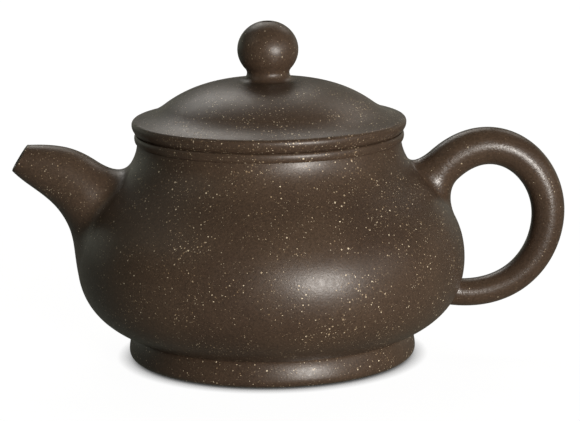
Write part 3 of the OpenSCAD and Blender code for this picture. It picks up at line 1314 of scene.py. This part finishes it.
@dataclass
class Spout:
    """Hand-formed spout: it swells out of the belly, bends over and ends in a small oval mouth.

    Lengths are in millimetres, the tilt in degrees. Each pair of a face, a way and a spread is X and Z: the
    arm across the spout to its upper side, the direction it takes, and how that differs on its upper side.
    The bores at root and bend are shares of the spout's width there. The pulls say how long the curve
    holds its direction: evenly all round, and what the upper side adds.
    """

    clay: bpy.types.Material
    pot: PotBody
    reach: float = 66.05
    tip_z: float = 55.1
    tip_d: float = 8.3
    tip_bore: float = 5.8
    tip_face: tuple[float, float] = (0.541, 0.841)
    tip_way: tuple[float, float] = (-1.1252, 0.3578)
    tip_spread: tuple[float, float] = (-0.4385, -0.3808)
    tip_widening: float = 0.2885
    bend_d: float = 17.0
    bend_place: tuple[float, float] = (0.9779, 0.6351)
    bend_tilt: float = 55.4
    bend_way: tuple[float, float] = (-0.619, 0.7386)
    bend_spread: tuple[float, float] = (0.0502, -0.3404)
    bend_widening: float = 0.254
    bend_bore: float = 0.72
    bend_pulls: tuple[float, float] = (1.19, 0.32)
    root_bore: float = 0.52
    root_pulls: tuple[float, float] = (1.165, -0.225)
    bore_end: float = 0.12
    bore_depth: float = 0.45
    lip_h: float = 0.4
    root: Root = Root(1.363, 0.497, 18.0, -1)
    around: int = 96

    def ring(self, v: float) -> Points:
        """Finds a ring of the outside.

        Args:
            v: 0 at the root over 1 at the bend to 2 at the tip.

        Returns:
            The points of the ring.
        """
        pot, angle = self.pot, ring_angles(self.around)
        turn = np.sin(angle)
        out, up = self.bend_place
        bend = np.array([-out * pot.belly_r, pot.belly_z + up * (pot.neck_z - pot.belly_z)])
        tip = np.array([-self.reach, self.tip_z])
        far = float(np.linalg.norm(tip - bend))
        tilt = math.radians(self.bend_tilt)
        bend_ring = round_section(bend, self.bend_d / 2 * np.array([math.cos(tilt), math.sin(tilt)]), angle)
        bend_way, bend_spread = far * np.array(self.bend_way), far * np.array(self.bend_spread)
        bend_pull = section(bend_way, bend_spread, self.bend_widening * far, angle)
        if v < 1:
            edge = pot.on_root(self.root, angle, 1.0, SUNK)
            pull = (self.root_pulls[0] + self.root_pulls[1] * turn) * pot.root_pull(self.root, angle, SUNK)
            return pulled(edge, pull, bend_ring, bend_pull, v)
        tip_ring = round_section(tip, self.tip_d / 2 * np.array(self.tip_face), angle)
        tip_way, tip_spread = far * np.array(self.tip_way), far * np.array(self.tip_spread)
        tip_pull = section(tip_way, tip_spread, self.tip_widening * far, angle)
        leave = (self.bend_pulls[0] + self.bend_pulls[1] * turn) * bend_pull
        return pulled(bend_ring, leave, tip_ring, tip_pull, v - 1)

    def drawn(self, ring: Points, share: float, move: float = 0.0) -> Points:
        """Draws a ring in towards its middle.

        Args:
            ring: Points of the ring.
            share: Share of its width that is left.
            move: Length that it moves out along the tip's axis.

        Returns:
            The new ring.
        """
        quarter = self.around // 4
        middle = (ring[quarter] + ring[3 * quarter]) / 2
        out = np.array([-self.tip_face[1], 0, self.tip_face[0]])
        return middle + share * (ring - middle) + move * out

    def bore_share(self, v: float) -> float:
        """Share of the ring at v that the bore takes."""
        return float(np.interp(v, (0, 1, 2), (self.root_bore, self.bend_bore, self.tip_bore / self.tip_d)))

    def build(self) -> list[Piece]:
        """Skins the outside, the rounded lip and the bore into one closed piece.

        Returns:
            The piece, in a list.
        """
        places = np.concatenate([np.linspace(0, 1, 31)[:-1], np.linspace(1, 2, 31)])
        rings = [self.ring(v) for v in places]
        root, tip, bore = rings[0], rings[-1], self.bore_share(2)
        for turn in np.linspace(0, math.pi, 11)[1:-1]:
            share = (1 + bore) / 2 + (1 - bore) / 2 * math.cos(turn)
            rings.append(self.drawn(tip, share, self.lip_h * math.sin(turn) ** 0.8))
        rings += [self.drawn(self.ring(v), self.bore_share(v)) for v in np.linspace(2, self.bore_end, 40)]
        for share in (0.55, 0.75, 0.97):
            rings.append(self.pot.settled(self.drawn(root, share), self.bore_depth))
        mesh = skin(rings, "spout_mesh", looped=True)
        mesh.materials.append(self.clay)
        return [Piece("Spout", finished(mesh), "spout", "pot", "pot_clay")]


@dataclass
class Handle:
    """Ear handle rolled from one tapering coil, pressed on at its top and smoothed on at its foot.

    Lengths are in millimetres. Its middle line is the curve over its crown and the curve down to its foot,
    and its top and foot lie at shares of the belly's radius and of the heights there. The press says how
    long the coil's top holds its direction: evenly all round, and what the upper side adds.
    """

    clay: bpy.types.Material
    tool: RingTool
    pot: PotBody
    reach: float = 75.1
    top_z: float = 55.45
    root_d: float = 10.6
    end_d: float = 7.3
    root: Root = Root(1.526, 0.2995, 10.0, 1)
    top_place: tuple[float, float] = (0.9015, 0.752)
    foot_place: tuple[float, float] = (0.9219, 0.4529)
    press: tuple[float, float] = (0.62, -0.344)
    splay: float = 0.06
    fillet: float = 1.3
    stop: float = 0.86
    around: int = 96
    over: Bezier = field(init=False)
    down: Bezier = field(init=False)

    def __post_init__(self) -> None:
        """Works out the middle line from the sizes."""
        pot = self.pot
        top_x, top_z = self.top_place
        foot_x, foot_z = self.foot_place
        top = np.array([top_x * pot.belly_r, pot.belly_z + top_z * (pot.neck_z - pot.belly_z)])
        foot = np.array([foot_x * pot.belly_r, pot.seat_z + foot_z * (pot.belly_z - pot.seat_z)])
        drop = top[1] - foot[1]
        z = foot[1] + 0.6125 * drop
        crown = (top[0] + 0.477 * (self.reach - top[0]), top[1] + 2.42 * (self.top_z - top[1]))
        self.over = Bezier(tuple(top), crown, (self.reach, z + 0.3943 * drop), (self.reach, z))
        turn = (self.reach - 0.3118 * (self.reach - foot[0]), foot[1] - 0.0817 * drop)
        self.down = Bezier((self.reach, z), (self.reach, z - 0.3182 * drop), turn, tuple(foot))

    def radius(self, share: Points) -> Points:
        """Finds the radius of the coil.

        Args:
            share: Share of the coil, from 0 at its root to 1 at its end.

        Returns:
            The radius at each share.
        """
        thick, thin = (0.442 * self.root_d, 0), (0.575 * self.end_d, 0)
        taper = Bezier((self.root_d / 2, 0), thick, thin, (self.end_d / 2, 0))
        return taper.point(share)[..., 0]

    def coil(self, count: int) -> tuple[Points, Points, Points]:
        """Middles and arms of the coil's rings.

        Args:
            count: Rings on each of the two curves.

        Returns:
            Middles, arms across and arms in the handle's plane.
        """
        t = np.linspace(0, 1, count)
        low = t * self.stop
        middles = np.concatenate([self.over.point(t), self.down.point(low)[1:]])
        steps = unit(np.concatenate([self.over.step(t), self.down.step(low)[1:]]))
        radii = self.radius(np.concatenate([t / 2, 0.5 + low[1:] / 2]))[:, None]
        none = np.zeros_like(radii)
        spots = np.concatenate([middles[:, :1], none, middles[:, 1:]], axis=1)
        across = np.concatenate([none, radii, none], axis=1)
        upright = radii * np.concatenate([-steps[:, 1:], none, steps[:, :1]], axis=1)
        return spots, across, upright

    def bar_ring(self, t: float, push: float) -> Points:
        """Finds a ring of the lower curve.

        Args:
            t: Share of the lower curve.
            push: Length that the ring is pushed on, straight past the curve's end.

        Returns:
            The points of the ring.
        """
        middle, step = self.down.point(t), unit(self.down.step(t))
        radius = float(self.radius(0.5 + t / 2))
        half = radius * np.array([-step[1], step[0]])
        return section(middle + push * step, half, radius, ring_angles(self.around))

    def upper_root(self) -> list[Points]:
        """Finds the rings that press the coil's first ring onto the wall.

        Returns:
            The rings from the coil over the root's edge to the inside of the wall.
        """
        angle = ring_angles(self.around)
        turn = np.sin(angle)
        step = unit(self.over.step(0.0))
        half = self.root_d / 2 * np.array([-step[1], step[0]])
        first = section(self.over.point(0.0), half, self.root_d / 2, angle)
        spread = np.concatenate([-step[1] * turn, np.cos(angle), step[0] * turn], axis=1)
        way = unit(np.array([[step[0], 0, step[1]]]) - self.splay * spread)
        pull = self.root_d * (self.press[0] + self.press[1] * turn) * way
        edge = self.pot.on_root(self.root, angle, 1.0, SUNK)
        flare = self.pot.root_pull(self.root, angle, SUNK)
        rings = [pulled(edge, flare, first, pull, u) for u in np.linspace(1, 0, 25)]
        return rings + [self.pot.on_root(self.root, angle, share, BURIED) for share in (0.95, 0.5)]

    @staticmethod
    def walked(lines: Points, along: Points, lengths: Points) -> Points:
        """Finds the point of each line that lies at its own length.

        Args:
            lines: Samples of the lines, by sample, line and coordinate.
            along: Length of each line up to each sample.
            lengths: The length that is wanted on each line.

        Returns:
            One point for each line.
        """
        spots = [
            [np.interp(length, along[:, j], lines[:, j, k]) for k in range(3)]
            for j, length in enumerate(lengths)
        ]
        return np.array(spots)

    def lower_root(self) -> list[Points]:
        """Finds the rings that lead the coil's last ring through a small fillet into the wall.

        Returns:
            The rings.
        """
        samples, beyond = 160, 8.0
        spots = [(t, 0.0) for t in np.linspace(self.stop, 1, samples)]
        spots += [(1.0, push) for push in np.linspace(0.05, beyond, samples)]
        lines = np.stack([self.bar_ring(t, push) for t, push in spots])
        away = np.hypot(lines[..., 0], lines[..., 1]) - self.pot.radius_at(lines[..., 2])
        steps = np.linalg.norm(np.diff(lines, axis=0), axis=2)
        along = np.concatenate([np.zeros((1, self.around)), np.cumsum(steps, axis=0)])
        meets, lengths = np.zeros((self.around, 3)), np.zeros(self.around)
        for j in range(self.around):
            i = int(np.argmax(away[:, j] < 0))
            share = away[i - 1, j] / (away[i - 1, j] - away[i, j])
            meets[j] = lines[i - 1, j] + share * (lines[i, j] - lines[i - 1, j])
            here = along[i - 1, j] + share * (along[i, j] - along[i - 1, j])
            lengths[j] = here - self.fillet
        starts = self.walked(lines, along, lengths)
        ends = self.pot.settled(meets + self.fillet * unit(meets - meets.mean(axis=0)), SUNK)
        rings = [self.walked(lines, along, lengths * u) for u in np.linspace(0, 1, 6)[:-1]]
        for u in np.linspace(0, 1, 10):
            rings.append((1 - u) ** 2 * starts + 2 * (1 - u) * u * meets + u * u * ends)
        middle = ends.mean(axis=0)
        for share in (0.97, 0.5):
            rings.append(self.pot.settled(middle + share * (ends - middle), BURIED))
        return rings

    def build(self) -> list[Piece]:
        """Sweeps the coil and welds its two roots on.

        Returns:
            The piece, in a list.
        """
        coil = self.tool.sweep("handle_coil", *self.coil(72), self.clay, around=self.around)
        upper = skin(self.upper_root(), "upper", looped=False)
        lower = skin(self.lower_root(), "lower", looped=False)
        mesh = joined([coil, upper, lower], self.clay, "handle_mesh")
        return [Piece("Handle", mesh, "handle", "pot", "handle_clay")]


@dataclass
class Lid:
    """Domed lid on its flat plate, with the flange that keeps it in the mouth, and its ball knob.

    Sizes are in millimetres.
    """

    clay: bpy.types.Material
    knob_clay: bpy.types.Material
    tool: RingTool
    pot: PotBody
    over: float = 1.18
    band_h: float = 3.2
    brim_w: float = 8.8
    dome_h: float = 13.85
    dome_rise: float = 6.5
    gap: float = 0.35
    flange_h: float = 6.3
    flange_t: float = 2.7
    knob_r: float = 8.1
    knob_neck_r: float = 5.65
    knob_neck_h: float = 1.95
    vent_d: float = 2.6
    seat: float = field(init=False)
    lid_r: float = field(init=False)
    flange_r: float = field(init=False)
    flange_in: float = field(init=False)
    dome_z: float = field(init=False)
    brim_in: tuple[float, float] = field(init=False)
    dome: Bezier = field(init=False)

    def __post_init__(self) -> None:
        """Works out the dome and the places that other pieces start from."""
        self.seat = self.pot.rim_z
        self.lid_r = self.pot.seam_r + self.over
        self.flange_r = self.pot.mouth_r - self.gap
        self.flange_in = self.flange_r - self.flange_t
        self.dome_z = self.seat + self.dome_h
        self.brim_in = (self.lid_r - self.brim_w, self.dome_z - self.dome_rise)
        r, z = self.brim_in
        swell = (r - 0.244 * r, z + 0.758 * self.dome_rise)
        self.dome = Bezier((r, z), swell, (0.469 * r, self.dome_z), (0.216 * r, self.dome_z))

    def plate(self) -> bpy.types.Mesh:
        """Flat plate with its rounded rim band and the hollow curve of the brim.

        Returns:
            The closed mesh.
        """
        h, seat, r = self.band_h, self.seat, self.lid_r
        band = Bezier(
            (self.pot.seam_r, seat + 0.0735 * h),
            (r - 0.088 * h, seat + 0.265 * h),
            (r + 0.0735 * h, seat + 0.765 * h),
            (r - 0.0735 * h, seat + h),
        )
        brim = Bezier(
            (r - 0.294 * h, seat + 1.162 * h),
            (r - 0.463 * self.brim_w, seat + 1.398 * h),
            (self.brim_in[0] + 0.274 * self.brim_w, self.brim_in[1] - 0.283 * self.dome_rise),
            self.brim_in,
        )
        top, start = band.point(1.0), brim.point(0.0)
        leave, arrive = top + 0.3 * unit(band.step(1.0)), start - 0.35 * unit(brim.step(0.0))
        edge = Bezier(tuple(top), tuple(leave), tuple(arrive), tuple(start))
        inside = self.dome.beside(0.0, self.pot.wall)
        under = (self.pot.seam_r - 0.088 * h, seat)
        foot = (self.flange_in, inside[1] - 0.467 * self.pot.wall)
        outline = Outline().add(line((self.flange_in, seat), under))
        outline.add(line(under, band.point(0.0)))
        outline.add(band.run(count=18)).add(edge.run(count=8)).add(brim.run(count=28))
        outline.add(line(self.brim_in, inside))
        outline.add(line(inside, foot), ease=0.3)
        outline.add(line(foot, (self.flange_in, seat)), ease=0.6)
        return self.tool.turned("lid_plate_mesh", outline, self.clay)

    def crown(self) -> bpy.types.Mesh:
        """Dome of the lid, pierced for the vent.

        Returns:
            The closed mesh.
        """
        vent, wall = self.vent_d / 2, self.pot.wall
        outline = Outline().add(self.dome.run(count=48))
        outline.add(line(self.dome.point(1.0), (vent, self.dome_z)))
        outline.add(line((vent, self.dome_z), (vent, self.dome_z - wall)))
        outline.add(line((vent, self.dome_z - wall), self.dome.beside(1.0, wall)), ease=0.3)
        outline.add(self.dome.run(1, 0, wall, count=30))
        outline.add(line(self.dome.beside(0.0, wall), self.brim_in))
        return self.tool.turned("lid_dome_mesh", outline, self.clay)

    def flange(self) -> bpy.types.Mesh:
        """Upright ring under the lid.

        Returns:
            The closed mesh.
        """
        low = self.seat - self.flange_h
        outline = Outline().add(line((self.flange_in, self.seat), (self.flange_r, self.seat)))
        outline.add(line((self.flange_r, self.seat), (self.flange_r, low)))
        outline.add(line((self.flange_r, low), (self.flange_in, low)), ease=0.9)
        outline.add(line((self.flange_in, low), (self.flange_in, self.seat)), ease=0.5)
        return self.tool.turned("lid_flange_mesh", outline, self.clay)

    def knob_neck(self) -> bpy.types.Mesh:
        """Short waist between dome and knob.

        Returns:
            The closed mesh.
        """
        h, r, vent = self.knob_neck_h, self.knob_neck_r, self.vent_d / 2
        knob_z = self.dome_z + h
        t = np.linspace(0, 1, 400)
        dome = self.dome.point(t)
        rim = r + 1.128 * h
        let_in = 0.02
        rim_z = float(np.interp(rim, dome[::-1, 0], dome[::-1, 1])) - let_in
        waist = Bezier(
            (rim, rim_z),
            (r + 0.487 * h, self.dome_z + 0.051 * h),
            (r + 0.026 * h, self.dome_z + 0.436 * h),
            (r, knob_z),
        )
        outline = Outline().add(waist.run(count=16))
        outline.add(line((r, knob_z), (vent, knob_z)))
        outline.add(line((vent, knob_z), (vent, self.dome_z)))
        outline.add(line((vent, self.dome_z), (r, self.dome_z), (rim, rim_z)))
        return self.tool.turned("knob_neck_mesh", outline, self.knob_clay)

    def knob(self) -> bpy.types.Mesh:
        """Ball knob with the vent hole in its top.

        Returns:
            The closed mesh.
        """
        r, vent = self.knob_r, self.vent_d / 2
        tall = 0.94 * r
        knob_z = self.dome_z + self.knob_neck_h
        middle = knob_z + 0.76 * r
        start, end = math.radians(-40), math.radians(78)
        joint = np.array([r * math.cos(start), middle + tall * math.sin(start)])
        slope = unit(np.array([-r * math.sin(start), tall * math.cos(start)]))
        under = Bezier(
            (self.knob_neck_r, knob_z),
            (self.knob_neck_r, knob_z + 0.055 * r),
            tuple(joint - 0.0736 * r * slope),
            tuple(joint),
        )
        turn = np.linspace(start, end, 64)
        ball = np.stack([r * np.cos(turn), middle + tall * np.sin(turn)], axis=1)
        top = ball[-1]
        outline = Outline().add(line((vent, knob_z), (self.knob_neck_r, knob_z)))
        outline.add(under.run(count=10)).add(ball)
        outline.add(line(top, (vent, top[1])))
        outline.add(line((vent, top[1]), (vent, knob_z)), ease=0.25)
        return self.tool.turned("knob_mesh", outline, self.knob_clay)

    def build(self) -> list[Piece]:
        """Makes every piece of the lid.

        Returns:
            The pieces, in the order they are made.
        """
        made = (
            ("Lid_Plate", self.plate(), "lid_plate"),
            ("Lid_Dome", self.crown(), "lid_dome"),
            ("Lid_Flange", self.flange(), "lid_flange"),
            ("Knob_Neck", self.knob_neck(), "knob_neck"),
            ("Knob", self.knob(), "knob"),
        )
        return [Piece(name, mesh, node, "lid", "lid_clay") for name, mesh, node in made]


# ---------------------------------------------------------------- studio


@dataclass(frozen=True)
class TableCamera:
    """Camera a little above the table, nearly square to the pot's long side.

    Lengths are in millimetres, angles in degrees. The focal length is for the sensor's width.
    """

    distance: float = 650.0
    elevation: float = 11.271
    swing: float = -3.0
    aim_z: float = 40.0
    pan: float = 0.465
    tilt: float = -0.075
    roll: float = 0.796
    sensor: float = 36.0
    focal: float = 150.445862

    def build(self) -> bpy.types.Object:
        """Places the camera and makes it the scene's own.

        Returns:
            The camera.
        """
        up = Vector((0, 0, 1))
        e = math.radians(self.elevation)
        toward = Vector((0, math.cos(e), -math.sin(e)))
        right = Vector((1, 0, 0))
        lift = right.cross(toward)
        pan, tilt = math.tan(math.radians(self.pan)), math.tan(math.radians(self.tilt))
        look = (toward + pan * right + tilt * lift).normalized()
        level = look.cross(up).normalized()
        rise = level.cross(look)
        c, s = math.cos(math.radians(self.roll)), math.sin(math.radians(self.roll))
        side, top = c * level - s * rise, s * level + c * rise
        spot = Vector((0, 0, self.aim_z)) - self.distance * toward
        stand = Matrix((side, top, -look)).transposed().to_4x4()
        stand.translation = spot * MM
        data = bpy.data.cameras.new("table_camera")
        data.sensor_width = self.sensor
        data.sensor_fit = "HORIZONTAL"
        data.lens = self.focal
        data.clip_start, data.clip_end = 0.05, 20.0
        made = bpy.data.objects.new("table_camera", data)
        made.matrix_world = Matrix.Rotation(math.radians(self.swing), 4, "Z") @ stand
        bpy.context.scene.collection.objects.link(made)
        bpy.context.scene.camera = made
        return made


@dataclass(frozen=True)
class Softbox:
    """Rectangular lamp behind cloth.

    Angles are in degrees, the azimuth from the front of the pot, lengths in metres and power in watts.
    """

    name: str
    azimuth: float
    elevation: float
    distance: float
    width: float
    height: float
    power: float
    colour: str = "#ffffff"
    aim_z: float = 0.04

    def build(self) -> bpy.types.Object:
        """Hangs the lamp and turns it to the pot.

        Returns:
            The lamp.
        """
        data = bpy.data.lights.new(self.name, "AREA")
        data.shape = "RECTANGLE"
        data.size, data.size_y = self.width, self.height
        data.energy = self.power
        data.color = linear(self.colour)[:3]
        made = bpy.data.objects.new(self.name, data)
        a, e = math.radians(self.azimuth), math.radians(self.elevation)
        way = Vector((math.sin(a) * math.cos(e), -math.cos(a) * math.cos(e), math.sin(e)))
        made.location = way * self.distance + Vector((0, 0, self.aim_z))
        made.rotation_euler = way.to_track_quat("Z", "Y").to_euler()
        made.visible_camera = False
        bpy.context.scene.collection.objects.link(made)
        return made


@dataclass(frozen=True)
class Studio:
    """Pale table, room and soft lamps.

    Table and room are white to the camera. The room is dim on the clay, and a little brighter where the
    clay mirrors it, which draws the soft pale rims.
    """

    room: float = 0.012
    gleam: float = 0.1
    walls: str = "#eef4dc"
    table: str = "#707070"
    glow: float = 0.96
    table_half: float = 3.0
    # Reach of the painted contact shadow that darkens the table's white glow round the pot's foot.
    painted_shade_reach: float = 4 * MM
    lamps: tuple[Softbox, ...] = (
        Softbox("key", 26, 4, 1.1, 0.34, 0.18, 10.9, "#fffaf4"),
        Softbox("brow", 10, 16, 1.1, 0.3, 0.2, 1.0, "#fffaf4"),
        Softbox("right_fill", 62, 14, 1.1, 0.5, 0.4, 0.65),
        Softbox("left_fill", -82, 40, 1.1, 0.8, 0.5, 0.45, "#f6f8ea"),
        Softbox("left_screen", -142, 8, 1.2, 1.3, 0.5, 0.65, "#f2f4e2"),
        Softbox("right_screen", 142, 8, 1.2, 1.3, 0.5, 0.55, "#f6f5e8"),
        Softbox("back", 180, 45, 1.1, 0.5, 0.5, 1.45, "#fff8ef"),
        Softbox("back_left", -160, 40, 1.1, 0.4, 0.4, 1.2, "#fffcf7"),
        Softbox("back_right", 140, 40, 1.1, 0.4, 0.4, 0.8, "#fff8ef"),
    )

    def floor(self) -> bpy.types.Object:
        """Lays the table top: white to the camera apart from the pot's cast shadow and a painted contact
        shadow, grey to the clay.

        Clay that mirrors it sees the grey with a faint pale gleam.

        Returns:
            The table top.
        """
        mesh = bpy.data.meshes.new("table_top")
        half = self.table_half
        corners = [(-half, -half, 0), (half, -half, 0), (half, half, 0), (-half, half, 0)]
        mesh.from_pydata(corners, [], [(0, 1, 2, 3)])
        material = bpy.data.materials.new("Matt paper table top")
        material.use_nodes = True
        tree = material.node_tree
        tree.nodes.clear()
        paper = add_node(tree, "ShaderNodeBsdfDiffuse", {"Color": linear(self.table)})
        # Painted contact shadow: ambient occlusion darkens the white glow that the camera sees near the pot.
        painted_contact_shade = add_node(
            tree, "ShaderNodeAmbientOcclusion", {"Color": (1, 1, 1, 1), "Distance": self.painted_shade_reach}, samples=8
        ).outputs["Color"]
        white = add_node(tree, "ShaderNodeEmission", {"Color": painted_contact_shade, "Strength": self.glow})
        soft = add_node(tree, "ShaderNodeEmission", {"Color": linear(self.walls), "Strength": self.gleam})
        seen = add_node(tree, "ShaderNodeAddShader", {0: paper.outputs[0], 1: white.outputs[0]})
        sheen = add_node(tree, "ShaderNodeAddShader", {0: paper.outputs[0], 1: soft.outputs[0]})
        shown = self.by_ray(tree, paper, sheen, seen)
        add_node(tree, "ShaderNodeOutputMaterial", {"Surface": shown})
        mesh.materials.append(material)
        made = mesh_object("table_top", mesh)
        return made

    def air(self) -> None:
        """Lights the room: dim on the clay, a little brighter where clay mirrors it, white behind it."""
        world = bpy.data.worlds.new("room")
        world.use_nodes = True
        tree = world.node_tree
        tree.nodes.clear()
        walls = linear(self.walls)
        dim = add_node(tree, "ShaderNodeBackground", {"Color": walls, "Strength": self.room})
        white = add_node(tree, "ShaderNodeBackground", {"Color": (1, 1, 1, 1), "Strength": 1.0})
        soft = add_node(tree, "ShaderNodeBackground", {"Color": walls, "Strength": self.gleam})
        shown = self.by_ray(tree, dim, soft, white)
        add_node(tree, "ShaderNodeOutputWorld", {"Surface": shown})
        bpy.context.scene.world = world

    @staticmethod
    def by_ray(tree: Tree, plain: bpy.types.Node, mirrored: bpy.types.Node, seen: bpy.types.Node) -> Socket:
        """Picks a shader by the ray that asks for it.

        Args:
            tree: Tree of the material or the room.
            plain: Shader for light that falls on the clay.
            mirrored: Shader for what the clay mirrors.
            seen: Shader for the camera.

        Returns:
            The picked shader.
        """
        ray = add_node(tree, "ShaderNodeLightPath").outputs
        lit = add_node(
            tree,
            "ShaderNodeMixShader",
            {0: ray["Is Glossy Ray"], 1: plain.outputs[0], 2: mirrored.outputs[0]},
        )
        shown = add_node(
            tree, "ShaderNodeMixShader", {0: ray["Is Camera Ray"], 1: lit.outputs[0], 2: seen.outputs[0]}
        )
        return shown.outputs[0]

    def build(self) -> None:
        """Sets the table, the room and the lamps."""
        self.floor()
        self.air()
        for lamp in self.lamps:
            lamp.build()
        bpy.context.scene.view_settings.view_transform = "Standard"


def main() -> None:
    """Builds the teapot piece by piece, then the table, the lamps and the camera."""
    logging.basicConfig(level=logging.INFO, format="%(name)s: %(message)s")
    # Burnished on the wheel: a soft even sheen, with the coarsest of the pale sand in sight.
    pot_clay = SandedStoneware("Sanded stoneware, burnished and once fired").build()
    # Wiped by wet fingers: the same sheen, with smaller grains that the fingers have half covered.
    spout_clay = SandedStoneware("Sanded stoneware, pulled and smoothed spout", Grain.FINE).build()
    # Rolled on a board and sponged: a shinier, more toothed skin with few grains left in sight.
    handle_clay = SandedStoneware(
        "Sanded stoneware, rolled and sponged", Grain.SPARSE, roughness=0.3, tooth=1.8
    ).build()
    # Burnished like the pot, with grains crowded closer together.
    lid_clay = SandedStoneware("Sanded stoneware, burnished lid", Grain.CROWDED).build()
    # Thrown small and wiped round: fine grains and a small bright spot.
    knob_clay = SandedStoneware("Sanded stoneware, thrown knob", Grain.FINE).build()
    wheel, needle = RingTool(), PerforationTool()
    pot = PotBody(pot_clay, wheel)
    strainer = Strainer(pot_clay, wheel, needle, pot)
    spout = Spout(spout_clay, pot)
    handle = Handle(handle_clay, wheel, pot)
    lid = Lid(lid_clay, knob_clay, wheel, pot)
    pieces = pot.build(strainer.place(), strainer.ball_d / 2)
    pieces += strainer.build() + spout.build() + handle.build() + lid.build()
    for piece in pieces:
        piece.place()
    for tool in (wheel, needle):
        bpy.data.node_groups.remove(tool.tree)
    Studio().build()
    TableCamera().build()


if __name__ == "__main__":
    main()
